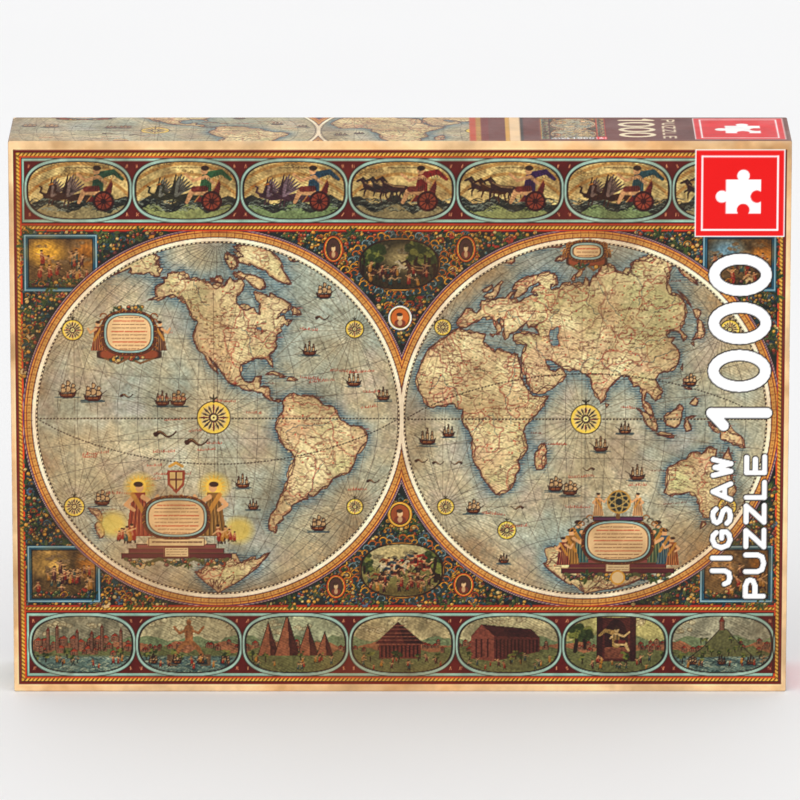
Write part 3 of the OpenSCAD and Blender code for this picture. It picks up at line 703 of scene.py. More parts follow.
def house(p, u, v, w, h, roof=(150, 58, 40)):
    """A building with a pitched roof, a shaded end and window marks."""
    p.box(u - w / 2, v, u + w / 2, v + h, (150, 104, 80))
    p.box(u + w / 6, v, u + w / 2, v + h, (130, 96, 70), 0.8)
    p.fill([(u - w * 0.58, v + h), (u, v + h + 0.45 * w), (u + w * 0.58, v + h)], roof)
    for x in (-0.3, -0.05):
        for y in (0.3, 0.65):
            p.box(u + x * w, v + y * h, u + x * w + 0.3, v + y * h + 0.5, INK, 0.8)
    p.stroke([(u - w / 2, v), (u - w / 2, v + h), (u, v + h + 0.45 * w), (u + w / 2, v + h), (u + w / 2, v)],
             0.22, INK, 0.7)


def tower(p, u, v, w, h):
    p.box(u - w / 2, v, u + w / 2, v + h, (140, 98, 78))
    p.box(u, v, u + w / 2, v + h, (112, 82, 60), 0.7)
    p.fill([(u - w * 0.6, v + h), (u, v + h + 1.3 * w), (u + w * 0.6, v + h)], (120, 58, 42))
    for x in (u - w / 2, u + w / 2):
        p.stroke([(x, v), (x, v + h)], 0.22, INK, 0.7)


# ------------------------------------------------------------ the two halves of the world

def hemisphere(p, h, rng):
    """Paints one half of the world. Gives its window, land, disc and what was under it before."""
    m = DISC_WINDOW
    where, u, v = p.window(h.u - m, h.v - m, h.u + m, h.v + m)
    r = np.hypot(u - h.u, v - h.v)
    disc = np.clip((h.radius + 2.2 - r) / p.step, 0, 1).astype(np.float32)
    base = p.rgb[where].copy()
    p.clip_to(where, disc)
    paint_sea(p, h, where, u, r, rng)
    land, outlines, lakes = find_land(p, h, where, rng)
    near = blur(land, 1.7 / p.step)
    wide = blur(land, 4.5 / p.step)
    paint_shore(p, h, where, v, land, near, wide, rng)
    for lat in range(-80, 81, 10):
        p.stroke(h.line([(h.longitude - 90 + 6 * k, lat) for k in range(31)]), 0.3, (78, 70, 62), 0.5)
    for lon in range(-90, 91, 10):
        p.stroke(h.line([(h.longitude + lon, -88 + 8 * k) for k in range(23)]), 0.3, (78, 70, 62), 0.5)
    paint_land(p, where, land, near, rng)
    for line in RIVERS:
        if h.sees(line):
            p.stroke(h.line(meander(line, rng)), 0.32, (82, 96, 92), 0.75)
    for line in RANGES:
        if h.sees(line):
            mountains(p, h, line, rng)
    countries(p, h, where, land, rng)
    for rough in outlines:
        p.stroke(rough + rough[:1], 0.4, (92, 56, 48), 0.9)
    for rough in lakes:
        p.stroke(rough + rough[:1], 0.35, COAST, 0.8)
    p.clip = None
    return where, land, disc, base


def paint_sea(p, h, where, u, r, rng):
    """Mottled grey-green with warm and blue patches, browner at the rim."""
    shape = r.shape
    p.lay(where, np.ones(shape, np.float32), SEA)
    for colour, amount, scale in (((202, 186, 150), 0.9, 40), ((150, 162, 150), 0.7, 34),
                                  ((190, 196, 180), 0.4, 16), ((172, 150, 138), 0.4, 14)):
        tint(p, where, colour, amount, scale, rng)
    tint(p, where, (150, 112, 72), 0.7, 50, rng, np.clip((r - 66) / 20, 0, 1))
    west_edge = np.clip((h.u - u - 74) / 14, 0, 1) * np.clip(0.6 + noise(shape, 12 / p.step, rng), 0, 1)
    p.lay(where, west_edge, (128, 92, 62), 0.7)
    p.lay(where, np.clip(noise(shape, 2.2 / p.step, rng, 3) * 1.5, 0, 1), (128, 124, 104), 0.4)


def trace(p, h, where, points, size, rng):
    """A roughened outline on the sheet and its cover of a window, or None where it is out of view."""
    if not h.sees(points):
        return None
    rough = h.line(roughen(points, rng, size))
    got = p.inside(rough)
    if got is None:
        return None
    full = np.zeros((p.nv, p.nu), np.float32)
    full[got[0]] = got[1]
    return rough, full[where]


def find_land(p, h, where, rng):
    """The cover of the land without its inland seas, and the outlines of both."""
    land = np.zeros(p.rgb[where].shape[:2], np.float32)
    outlines, lakes = [], []
    for coast in COASTS.values():
        for turn in (0, 360, -360):
            points = [(lon + turn, lat) for lon, lat in coast]
            if turn and max(abs(lon) for lon, _ in points) < 200:
                continue
            got = trace(p, h, where, points, 2.2, rng)
            if got:
                outlines.append(got[0])
                land = np.maximum(land, got[1])
    for sea in INLAND_SEAS:
        got = trace(p, h, where, sea, 2.0, rng)
        if got:
            lakes.append(got[0])
            land = land * (1 - got[1])
    return land, outlines, lakes


def paint_shore(p, h, where, v, land, near, wide, rng):
    """The sea turns blue towards the land and is hatched level."""
    p.lay(where, np.clip(wide * 2.6, 0, 1) * (1 - land), (116, 136, 138), 0.6)
    rows = 0.5 + 0.5 * np.sin((v - h.v) * 5.2 + 1.5 * noise(land.shape, 6 / p.step, rng, 2))
    broken = np.clip(noise(land.shape, 3 / p.step, rng) * 1.5 + 0.6, 0, 1)
    p.lay(where, np.clip(near * 3.2, 0, 1) * (1 - land) * rows * broken, (50, 72, 88), 0.85)
    p.lay(where, np.clip(wide * 1.6, 0, 1) * (1 - land) * rows * broken, (66, 96, 106), 0.35)


def paint_land(p, where, land, near, rng):
    """Ochre with yellow, pink and green countries, browner inland."""
    p.lay(where, land, LAND)
    for colour, amount, scale in (((226, 208, 154), 0.9, 24), ((206, 166, 132), 0.55, 15),
                                  ((184, 184, 128), 0.6, 17), ((196, 154, 112), 0.35, 9),
                                  ((234, 214, 164), 0.8, 11)):
        tint(p, where, colour, amount, scale, rng, land)
    p.lay(where, land * np.clip((1.0 - near) * 2.4, 0, 1), (170, 130, 94), 0.6)


def meander(line, rng):
    out = [np.asarray(q, float) for q in line]
    for _ in range(3):
        new = []
        for a, b in zip(out[:-1], out[1:]):
            gap = b - a
            new += [a, (a + b) / 2 + np.array([-gap[1], gap[0]]) * rng.uniform(-0.18, 0.18)]
        out = new + [out[-1]]
    return out


def mountains(p, h, line, rng):
    """Small shaded hills along a range."""
    for a, b in zip(line[:-1], line[1:]):
        n = max(1, int(math.dist(a, b) / 1.6))
        for k in range(n):
            t = (k + rng.uniform()) / n
            lon = a[0] + (b[0] - a[0]) * t + rng.normal(0, 1.2)
            lat = a[1] + (b[1] - a[1]) * t + rng.normal(0, 0.9)
            (u, v), c = h.place(lon, lat)
            if c > 1:
                continue
            s = rng.uniform(0.7, 1.4)
            p.fill([(u - s, v - 0.4 * s), (u, v + 0.8 * s), (u + 0.25 * s, v - 0.4 * s)], (216, 182, 128),
                   0.7)
            p.fill([(u, v + 0.8 * s), (u + s, v - 0.4 * s), (u + 0.1 * s, v - 0.4 * s)], (112, 76, 62), 0.7)


def countries(p, h, where, land, rng):
    """Borders between countries where a noise crosses a level, rows of small name marks, towns and woods."""
    shape = land.shape
    for scale, level, colour, strength in ((22, -0.25, (160, 70, 60), 0.7), (22, 0.2, (150, 84, 60), 0.6),
                                           (13, 0.0, (120, 78, 66), 0.6)):
        field = noise(shape, scale / p.step, rng, 4)
        gy, gx = np.gradient(field)
        steep = np.maximum(np.hypot(gx, gy), 1e-4)
        p.lay(where, (0.95 - np.abs(field - level) / steep * p.step / 0.5) * land, colour, strength)
    j0, i0 = where[0].start, where[1].start
    for _ in range(5200):
        u, v = h.u + rng.uniform(-1, 1) * DISC_R, h.v + rng.uniform(-1, 1) * DISC_R
        j, i = int((v - p.low[1]) / p.step) - j0, int((u - p.low[0]) / p.step) - i0
        if not (0 <= j < shape[0] and 0 <= i < shape[1]) or land[j, i] < 0.5:
            continue
        kind = rng.uniform()
        if kind < 0.55:
            length = rng.uniform(0.8, 3.2)
            p.stroke([(u, v), (u + length, v + rng.uniform(-0.12, 0.12))], 0.34,
                     (92, 56, 46) if kind < 0.45 else (160, 52, 40), 0.6)
        elif kind < 0.8:
            w = rng.uniform(0.4, 0.8)
            p.stroke([(u - w, v - 0.4 * w), (u, v + 0.7 * w), (u + w, v - 0.4 * w)], 0.3, (104, 66, 54), 0.6)
        elif kind < 0.92:
            p.oval(u, v, 0.45, 0.35, (86, 96, 66), 0.6)
        else:
            p.oval(u, v, 0.4, 0.4, (176, 60, 44), 0.8)


# The rings round the hemispheres: inner and outer radius, colour, strength, and the frequency, gain and
# level of the ticks that break a ring up
RINGS = (
    (85.7, 86.6, (74, 50, 40), 1.0, None), (85.9, 86.5, (226, 206, 168), 1.0, (260, 2.5, -0.2)),
    (86.6, 88.4, (242, 222, 190), 1.0, None), (88.3, 88.7, (96, 44, 40), 1.0, None),
    (88.7, 92.0, (168, 88, 48), 1.0, None), (88.9, 90.7, (206, 152, 84), 0.95, None),
    (89.4, 90.2, (150, 92, 44), 0.5, (300, 3.0, -1 / 6)), (90.7, 91.0, (112, 44, 34), 0.9, None),
    (91.2, 91.8, (222, 154, 76), 0.9, None), (88.0, 91.9, (84, 40, 26), 0.6, (150, 12.0, 0.93)),
    (92.0, 92.5, (92, 44, 84), 1.0, None), (92.5, 92.8, (206, 170, 150), 1.0, None),
    (92.8, 93.2, (58, 34, 52), 0.9, None))


def rings(p):
    """The rings round both hemispheres. Each point takes the nearer disc."""
    where, u, v = p.window(-INNER_U, MAP_LOW, INNER_U, MAP_HIGH)
    to_west, to_east = np.hypot(u - WEST.u, v - WEST.v), np.hypot(u - EAST.u, v - EAST.v)
    r = np.minimum(to_west, to_east)
    angle = np.where(to_west < to_east, np.arctan2(v - WEST.v, u - WEST.u),
                     np.arctan2(v - EAST.v, u - EAST.u))
    for inner, outer, colour, strength, ticks in RINGS:
        cover = np.clip((r - inner) / p.step + 0.5, 0, 1) * np.clip((outer - r) / p.step + 0.5, 0, 1)
        if ticks:
            cover = cover * np.clip(ticks[1] * (np.sin(angle * ticks[0]) - ticks[2]), 0, 1)
        p.lay(where, cover, colour, strength)


def dashed(p, points, width, colour, pitch):
    """A dotted line: short dashes at an even pitch along a path."""
    carry = 0.0
    for a, b in zip(points[:-1], points[1:]):
        length = math.dist(a, b)
        t = carry
        while t < length:
            e = min(t + 0.35 * pitch, length)
            q = [(a[0] + (b[0] - a[0]) * s / length, a[1] + (b[1] - a[1]) * s / length) for s in (t, e)]
            p.stroke(q, width, colour, 0.9)
            t += pitch
        carry = t - length


def map_lines(p, h):
    """Equator and ecliptic as dotted lines."""
    equator = [(h.u - DISC_R, h.v), (h.u + DISC_R, h.v)]
    p.stroke(equator, 0.6, (206, 190, 150), 0.6)
    dashed(p, equator, 0.6, (48, 30, 28), 1.6)
    swing = -23.4 if h is WEST else 23.4
    curve = [h.place(h.longitude - 90 + k * 9, swing * math.sin(math.pi * k / 20))[0] for k in range(21)]
    dashed(p, curve, 0.55, (52, 32, 28), 1.6)


# Ships and beasts, by place and size
SHIPS = ((-158, 146.5, 4.2), (-146, 145, 4.4), (-113, 142.5, 3.6), (-105.5, 142.5, 3.8), (-43, 167, 3.4),
         (-36, 195, 3.8), (-22, 152, 3.6), (-8, 145, 3.2), (-39, 81, 3.8), (-75, 102, 3.4), (-142, 93.5, 3.8),
         (-70, 91, 2.6), (13, 123.5, 4.0), (23, 127, 3.0), (95.5, 120, 3.6), (107, 128.5, 3.0),
         (113, 106, 3.8),
         (74, 100.5, 3.6), (81, 98.5, 3.6), (35, 89.5, 3.4), (43, 64, 2.4), (49.5, 64.5, 2.4),
         (138, 152, 3.0))
BEASTS = ((-112, 127, 4.2), (-97, 123, 4.4), (-130, 146, 2.4), (-37, 184, 2.6), (-42, 204, 2.4),
          (-148, 190, 2.6),
          (10, 114, 2.4), (18, 113, 2.2), (27, 113, 2.2), (30, 77, 3.0), (56, 91, 2.4), (90, 110, 2.2),
          (-13, 104, 2.4))
SMALL_ROSE = (51.0, 80.0)


def sea_life(p, h, land, rng):
    """Rhumb lines, ships, beasts and labels, which are red on the open sea."""
    for du, dv, r in ((-0.02, 0.006, 62), (-0.79, 0.5, 40), (-0.79, -0.5, 40), (0.75, 0.5, 30),
                      (0.75, -0.5, 30)):
        u, v = h.u + du * DISC_R, h.v + dv * DISC_R
        for _, _, a, b in around(32, u, v, r, r):
            p.stroke([(u, v), (a, b)], 0.28, (96, 78, 60), 0.5)
    wide = blur(land, 3.0 / p.step)

    def far_out(u, v, margin):
        return math.hypot(u - h.u, v - h.v) >= DISC_R - margin

    def open_sea(u, v):
        j = int((v - h.v + DISC_WINDOW) / p.step)
        i = int((u - h.u + DISC_WINDOW) / p.step)
        in_window = 0 <= j < wide.shape[0] and 0 <= i < wide.shape[1]
        return in_window and wide[j, i] < 0.04 and not far_out(u, v, 7)

    for draw, places in ((ship, SHIPS), (beast, BEASTS)):
        for u, v, s in places:
            if not far_out(u, v, 5):
                draw(p, u, v, s, rng)
    if not far_out(*SMALL_ROSE, 0):
        rose(p, *SMALL_ROSE, 4.4)
    for _ in range(60):
        u, v = h.u + rng.uniform(-1, 1) * DISC_R, h.v + rng.uniform(-1, 1) * DISC_R
        if not far_out(u, v, 8):
            red = open_sea(u, v)
            label(p, u, v, rng.uniform(5, 14), (166, 60, 44) if red else (104, 52, 40), rng,
                  rng.uniform(-0.12, 0.12), 1.3 if red else 0.8)


# ------------------------------------------------------------ ornaments

FRUIT = [(176, 128, 56), (150, 62, 40), (84, 98, 58), (196, 164, 104), (62, 88, 92), (112, 62, 64),
         (206, 146, 60)]
LEAVES = [(66, 84, 52), (48, 66, 50), (96, 104, 62), (44, 72, 80)]
PETALS = [(150, 58, 44), (204, 172, 122), (186, 124, 56), (92, 108, 122)]


def garland(p, u0, v0, u1, v1, rng, inside=lambda u, v: True):
    """Fruit, flowers, leaves and ribbons, inside a box and where a test allows."""
    def places(area):
        for n in range(int((u1 - u0) * (v1 - v0) / area)):
            u, v = rng.uniform(u0, u1), rng.uniform(v0, v1)
            if inside(u, v):
                yield n, u, v

    for _, u, v in places(26):
        bloom(p, u, v, rng.uniform(1.2, 2.4), rng)
    for n, u, v in places(1.6):
        turn = rng.uniform(0, 3.1)
        if n % 3 == 0:
            r = rng.uniform(0.9, 1.7)
            p.oval(u, v, r, 0.4 * r, LEAVES[int(rng.integers(4))], 0.95, turn)
            c, d = 0.8 * r * math.cos(turn), 0.8 * r * math.sin(turn)
            p.stroke([(u - c, v - d), (u + c, v + d)], 0.25, (30, 26, 22), 0.7)
            continue
        r = rng.uniform(0.35, 1.15)
        p.oval(u, v, r, r * rng.uniform(0.6, 1), FRUIT[int(rng.integers(7))], 0.9, turn)
        p.oval(u, v, r, r * 0.8, (34, 24, 20), 0.6, line=0.25)
        p.oval(u - 0.25 * r, v + 0.3 * r, 0.3 * r, 0.25 * r, (226, 190, 130), 0.6)
    for _, u, v in places(60):
        size, way = rng.uniform(1.2, 2.6), rng.choice([-1, 1])
        scroll(p, u, v, size, way, [(190, 134, 56), (70, 104, 116), (160, 76, 44)][int(rng.integers(3))])


def bloom(p, u, v, r, rng):
    """A flower with petals, or a bunch of leaves."""
    if rng.uniform() < 0.5:
        tone = PETALS[int(rng.integers(4))]
        for _, t, a, b in around(7, u, v, 0.6 * r, 0.6 * r):
            p.oval(a, b, 0.42 * r, 0.3 * r, tone, 0.95, t)
        p.oval(u, v, r, r, (34, 24, 20), 0.5, line=0.25)
        p.oval(u, v, 0.3 * r, 0.3 * r, (110, 64, 34))
        return
    start = rng.uniform(0, 3)
    for k in range(5):
        t = start + k * 0.9
        c, s = r * math.cos(t), r * math.sin(t)
        p.oval(u + c, v + s, 0.9 * r, 0.36 * r, (58 + 8 * k, 78 + 6 * k, 50), 0.95, t)
        p.stroke([(u, v), (u + 1.8 * c, v + 1.8 * s)], 0.28, (28, 32, 24), 0.75)


def scroll(p, u, v, s, way, colour):
    """A scroll: a spiral stroke with a dark edge."""
    points = [(u + way * s * (1 - t) * math.cos(5.5 * t), v + s * (1 - t) * math.sin(5.5 * t))
              for t in np.linspace(0, 0.85, 12)]
    p.stroke(points, 0.32 * s, (70, 40, 22), 0.95, 0.2 * s)
    p.stroke(points, 0.2 * s, colour, 0.95, 0.1 * s)


def scroll_ring(p, u, v, a, b, count, size, colours, start=0.0):
    """Scrolls round an oval, their colours and ways taking turns."""
    for k, _, x, y in around(count, u, v, a, b, start):
        scroll(p, x, y, size, 1 if k % 2 else -1, colours[k % len(colours)])


def vignette(p, u0, v0, u1, v1, sky, rng):
    """A framed corner scene with a crowd of small figures under a glow."""
    p.box(u0, v0, u1, v1, (44, 84, 100))
    p.frame(u0 + 0.4, v0 + 0.4, u1 - 0.4, v1 - 0.4, 0.5, (140, 172, 176))
    a, b, c, d = u0 + 2.4, v0 + 2.2, u1 - 2.4, v1 - 2.2
    p.box(a, b, c, d, (106, 82, 52))
    p.oval(a + 0.28 * (c - a), b + 0.72 * (d - b), 7.5, 6.0, sky, 0.95, soft=6)
    p.oval(c - 4, b + 0.7 * (d - b), 4.5, 6, (206, 126, 44), 0.7, soft=4)
    mottle(p, p.window(a, b, c, d)[0], 0.35, 4, rng)
    for _ in range(10):
        cloud(p, rng.uniform(a + 3, c - 3), rng.uniform(b + 0.5 * (d - b), d - 2), 2.6, rng, (150, 120, 86))
    for _ in range(24):
        figure(p, rng.uniform(a + 2, c - 2), rng.uniform(b + 0.5, b + 0.5 * (d - b)), rng.uniform(4, 7.5),
               rng)
    garland(p, a + 0.5, b + 0.4, c - 0.5, b + 3.4, rng)
    darken(p, a, b, c, d, 0.9, rng)
    p.frame(a - 0.3, b - 0.3, c + 0.3, d + 0.3, 0.5, (30, 26, 26))


def medallion(p, u, v, a, b, rim=(190, 84, 42), ground=(84, 58, 50)):
    """A small oval with a plain bust in it, scrolls round its rim."""
    gilt = (214, 152, 56)
    scroll_ring(p, u, v, a + 2.0, b + 2.0, 12, 1.7, [(92, 120, 120), gilt, gilt])
    p.rimmed(u, v, a + 1.3, b + 1.3, rim)
    p.oval(u, v, a + 0.5, b + 0.5, (226, 178, 84))
    p.rimmed(u, v, a, b, ground, 0.4)
    p.oval(u, v - 0.55 * b, 0.62 * a, 0.4 * b, (120, 62, 48), 0.95)
    p.oval(u, v - 0.5 * b, 0.25 * a, 0.3 * b, (196, 160, 116), 0.85)
    p.oval(u, v + 0.08 * b, 0.29 * a, 0.33 * b, (214, 178, 132), 0.95)
    p.oval(u - 0.05 * a, v + 0.34 * b, 0.34 * a, 0.19 * b, (74, 52, 40), 0.92)


def bezel(p, u, v, a, b):
    """A large oval's frame of gold and aqua scrollwork, wider at its sides."""
    p.oval(u, v, a + 4.0, b + 3.0, (50, 62, 60), power=2.6)
    for ring, size, start in ((3.4, 2.6, 0.5), (1.8, 1.9, 0)):
        scroll_ring(p, u, v, a + ring, b + ring * 0.8, 30, size,
                    [(212, 150, 56), (186, 108, 48), (110, 140, 142)], start)
    for side in (-1, 1):
        for k in range(6):
            scroll(p, u + side * (a + 4.5 + 0.9 * k), v + (k - 3) * 3.0, 3.0, side,
                   [(218, 160, 62), (176, 88, 44)][k % 2])
    p.rimmed(u, v, a + 0.9, b + 0.9, (196, 140, 66))


def oval_clip(p, u, v, a, b, power):
    """Keeps what follows inside an oval."""
    where, x, y = p.window(u - a, v - b, u + a, v + b)
    r = (np.abs((x - u) / a) ** power + np.abs((y - v) / b) ** power) ** (1 / power)
    p.clip_to(where, np.clip((1 - r) * min(a, b) / p.step + 0.5, 0, 1))


def big_scene(p, u, v, a, b, rng, dark=False):
    """An oval picture: woods round a pale glow, or riders in a field."""
    bezel(p, u, v, a, b)
    p.oval(u, v, a, b, (74, 66, 46) if dark else (176, 164, 124), power=2.3)
    oval_clip(p, u, v, a, b, 2.3)
    glow = (4.0, 0.25, 0.5, 0.45) if dark else (0.0, 0.6, 0.8, 0.4)
    p.oval(u + glow[0], v + glow[1] * b, glow[2] * a, glow[3] * b, (214, 190, 132), 0.9, soft=5)
    for _ in range(7):
        cloud(p, u + rng.uniform(-0.6, 0.7) * a, v + rng.uniform(0.4, 0.8) * b, 3.0, rng, (150, 140, 110))
    if not dark:
        p.box(u - a, v - b, u + a, v + 0.1 * b, (134, 122, 70), 0.9, 3.0)
    for _ in range(26 if dark else 9):
        side = rng.choice([-1, 1])
        x = side * rng.uniform(0.35 if dark else 0.75, 1.0) * a
        tree(p, u + x, v + rng.uniform(-0.5, 0.1) * b, rng.uniform(7, 12), rng)
    p.box(u - a, v - b, u + a, v - 0.6 * b, (70, 56, 36) if dark else (112, 92, 54), 0.8, 3.0)
    for n in range(5 if dark else 9):
        x, y = rng.uniform(-0.7, 0.7) * a, rng.uniform(-0.55, -0.1 if dark else 0.25) * b
        tone = [(84, 50, 34), (206, 186, 150), (110, 60, 40), (60, 40, 32)][n % 4]
        way = rng.choice([-1, 1])
        horse(p, u + x, v + y, rng.uniform(3.6, 5.4), way, rng, tone)
        if not dark:
            cape = [(168, 50, 36), (150, 84, 50), (70, 84, 90)][n % 3]
            rider(p, u + x, v + y + 0.8, rng.uniform(5, 6.5), way, cape)
    for _ in range(18):
        figure(p, u + rng.uniform(-0.8, 0.8) * a, v + rng.uniform(-0.9, -0.35) * b, rng.uniform(4, 6), rng)
    darken(p, u - a, v - b, u + a, v + b, 0.84, rng)
    p.clip = None
    p.oval(u, v, a, b, INK, 0.95, line=0.6, power=2.3)


def cartouche(p, u, v, a, b, rng):
    """A text panel in a carved frame with small figures, fruit and a base. Its writing is only dashes."""
    p.oval(u, v - b - 1.8, a * 1.4, 2.4, (140, 70, 44), 0.95, power=4)
    p.oval(u, v - b - 1.8, a * 1.4, 2.4, INK, 0.8, line=0.35, power=4)
    for side in (-1, 1):
        standing(p, u + side * (a + 4.0), v - b, 1.7 * b, side, [(134, 70, 48), (96, 62, 50)][side > 0])
        for k in range(7):
            scroll(p, u + side * (a + 1.0), v + (k - 3) * b / 3.2, 2.1, side, (170, 108, 54))
        p.stroke([(u, v - b - 3.6), (u + side * 0.5 * a, v - b - 6.2), (u + side * 1.1 * a, v - b - 3.8)],
                 1.0,
                 (120, 84, 52), 0.9)
    garland(p, u - 0.7 * a, v + b + 0.4, u + 0.7 * a, v + b + 0.5 * b, rng)
    garland(p, u - 0.9 * a, v - b - 5.0, u + 0.9 * a, v - b - 3.2, rng)
    plate(p, u, v, a, b, rng)


def plate(p, u, v, a, b, rng):
    """The oval text plate: gold and aqua rims round rows of dashes."""
    p.oval(u, v, a + 3.0, b + 2.6, (96, 56, 38), power=2.6)
    scroll_ring(p, u, v, a + 2.2, b + 1.9, 22, 1.3, [(190, 130, 62)])
    p.rimmed(u, v, a + 1.3, b + 1.2, (150, 172, 160), power=2.8)
    p.rimmed(u, v, a, b, (220, 182, 134), edge=(90, 60, 44), power=2.8)
    for n in range(int(b / 0.85)):
        y = v + (n + 0.5) * 1.7 - b
        half = 0.8 * a * math.sqrt(max(0.0, 1 - ((y - v) / b) ** 4))
        colour, width = ((190, 74, 48), 0.55) if n % 3 == 2 else ((110, 66, 50), 0.35)
        scribble(p, u - half, y - 0.5, u + half, y + 0.5, 1, colour, rng, 0.75, width)


def pedestal(p, u, v, half, rng):
    """Stepped maroon beams with a pale plate and swags of fruit below."""
    for share, h, y, tone in ((0.72, 2.2, 4.0, (132, 72, 66)), (0.86, 2.4, 1.6, (104, 50, 52)),
                              (1.0, 2.6, -1.0, (88, 40, 44))):
        w = share * half
        p.box(u - w, v + y, u + w, v + y + h, tone, 0.97)
        p.stroke([(u - w, v + y + h), (u + w, v + y + h)], 0.45, (190, 128, 96), 0.8)
        p.frame(u - w, v + y, u + w, v + y + h, 0.35, INK, 0.85)
    p.box(u - 6, v - 0.4, u + 6, v + 4.8, (214, 186, 140))
    p.frame(u - 6, v - 0.4, u + 6, v + 4.8, 0.5, (110, 60, 48))
    scribble(p, u - 5, v + 0.3, u + 5, v + 4.2, 3, (96, 56, 46), rng)
    for side in (-1, 0, 1):
        x = u + side * 0.62 * half
        p.stroke([(x - 0.3 * half, v - 1.2), (x, v - 4.4), (x + 0.3 * half, v - 1.2)], 1.7, (84, 84, 54),
                 0.95)
        garland(p, x - 0.24 * half, v - 4.2, x + 0.24 * half, v - 1.6, rng)


def left_title(p, rng):
    """The lower left title: a plate between two tall haloed figures on a pedestal, under a plain shield."""
    u, v = -106.7, 86.3
    at = placer(u, 0)
    for x, y in ((-137, 83), (-77, 80), (-124, 101.6), (-88.5, 101.6)):
        p.oval(x, y, 6.5, 6.0, (222, 188, 84), 0.75, soft=4)
    for side in (-1, 1):
        x = u + side * 18.0
        for _, _, a, b in around(16, x, 101.6, 5.6, 5.6):
            p.stroke([(x, 101.6), (a, b)], 0.9, (226, 160, 50), 0.9, 0.2)
        p.oval(x, 101.6, 3.9, 3.9, (236, 192, 84), 0.95)
        standing(p, x, 77.0, 27.0, -side, [(140, 60, 44), (128, 92, 48)][side > 0])
        for k in range(5):
            figure(p, x + side * (2.5 + 1.8 * k), 74.5 + rng.uniform(-1, 1), 9 - k, rng)
    pedestal(p, u, 67.0, 26.5, rng)
    banner = [(-14.5, 74), (-13, 76.6), (13, 76.6), (14.5, 74), (13, 71.9), (-13, 71.9)]
    p.fill([at(*q) for q in banner], (216, 184, 136), 0.97)
    p.frame(u - 13.5, 72.0, u + 13.5, 76.4, 0.4, (100, 60, 46))
    scribble(p, u - 12, 72.8, u + 12, 75.6, 1, (84, 50, 44), rng, 0.8, 0.6)
    plate(p, u, v, 13.3, 8.4, rng)
    for shield, tone in (([(-4.2, 109.5), (4.2, 109.5), (4.0, 102.5), (0, 98.0), (-4.0, 102.5)],
                          (146, 70, 50)),
                         ([(-3, 108.5), (3, 108.5), (2.8, 103), (0, 99.6), (-2.8, 103)], (196, 160, 104))):
        p.fill([at(*q) for q in shield], tone, 0.97)
    limbs(p, at, 1, (
        ([(0, 108.3), (0, 100)], 0.8, (96, 52, 42), 0.9), ([(-2.6, 105), (2.6, 105)], 0.8, (96, 52, 42), 0.9),
        ([(-3, 111.5), (0, 113.2), (3, 111.5)], 1.4, (190, 140, 66), 0.95)))


def right_title(p, rng):
    """The lower right title: a plate between seated figures, with a dark globe above."""
    u, v = 104.0, 74.5
    pedestal(p, u, 59.6, 27.0, rng)
    for side, robes in ((-1, [(58, 92, 88), (150, 104, 50), (124, 56, 50)]),
                        (1, [(76, 96, 70), (58, 88, 100), (150, 84, 46)])):
        x = u + side * 21.5
        for n, robe in enumerate(robes):
            standing(p, x + side * (3.6 * n - 2.5), 64.0 - 0.6 * n, 21 - 3.5 * n, -side, robe)
        standing(p, u + side * 9.5, 87.0, 11.5, -side, (206, 156, 108))
        for k in range(5):
            scroll(p, u + side * (13 + 2 * k), 86 - 1.6 * k, 2.0, side,
                   (96, 116, 104) if k % 2 else (186, 128, 60))
    plate(p, u, v, 14.5, 9.0, rng)
    p.box(u - 12, 84.6, u + 12, 86.8, (96, 56, 76))
    p.frame(u - 12, 84.6, u + 12, 86.8, 0.35, INK)
    p.stroke([(u, 86.5), (u, 90)], 2.2, (120, 84, 50), 0.95, 1.2)
    p.oval(u + 0.4, 94.0, 5.4, 5.4, (52, 54, 50))
    for turn in (0.5, -0.4, 1.6):
        p.oval(u + 0.4, 94.0, 5.3, 1.9, (180, 150, 92), 0.9, turn, line=0.5)
    p.oval(u + 0.4, 94.0, 5.4, 5.4, (186, 140, 66), 0.95, line=0.7)
    p.oval(u, 56.6, 3.6, 3.6, (206, 150, 60))
    p.oval(u, 56.6, 2.8, 2.8, (222, 190, 140))


# ------------------------------------------------------------ the two bands of ovals

OVAL_PITCH, OVAL_SHIFT, OVAL_HALF = 51.02, 1.0, 24.0
OVAL_POWER = 2.7  # how squared the ovals are
SKY_HILLS = [(176, 158, 112), (168, 172, 110), (140, 156, 104)]
TEAMS = [(78, 52, 40), (66, 62, 46), (84, 56, 62), (62, 50, 48), (84, 50, 30), (70, 42, 28), (82, 52, 38)]
CAPES = [(56, 92, 70), (60, 100, 66), (56, 84, 100), (140, 44, 40), (72, 44, 84), (52, 86, 92), (150, 96, 50)]
WONDER_SKIES = [(150, 140, 112), (186, 172, 132), (170, 168, 132), (196, 176, 130), (186, 172, 130),
                (196, 184, 120), (176, 168, 138)]


def panel(p, u, v, a, b, sky, rng):
    """One oval of a band: maroon corners, an aqua rim and its sky, and the clip for the scene."""
    p.box(u - 25.6, v - b - 0.3, u + 25.6, v + b + 0.3, (96, 34, 30))
    for su in (-1, 1):
        for sv in (-1, 1):
            jot(p, u + su * 23.0, v + sv * (b - 2.2), (214, 150, 110), rng)
    p.oval(u, v, a + 1.5, b + 1.7, (150, 172, 156), power=OVAL_POWER)
    p.oval(u, v, a + 1.6, b + 1.8, (60, 48, 42), 0.7, line=0.35, power=OVAL_POWER)
    p.oval(u, v, a, b, sky, power=OVAL_POWER)
    oval_clip(p, u, v, a, b, OVAL_POWER)
    mottle(p, p.window(u - a, v - b, u + a, v + b)[0], 0.25, 5, rng)


def close_panel(p, u, v, a, b, rng):
    darken(p, u - a, v - b, u + a, v + b, 0.84, rng)
    p.clip = None
    p.oval(u, v, a, b, (48, 32, 28), 0.95, line=0.55, power=OVAL_POWER)


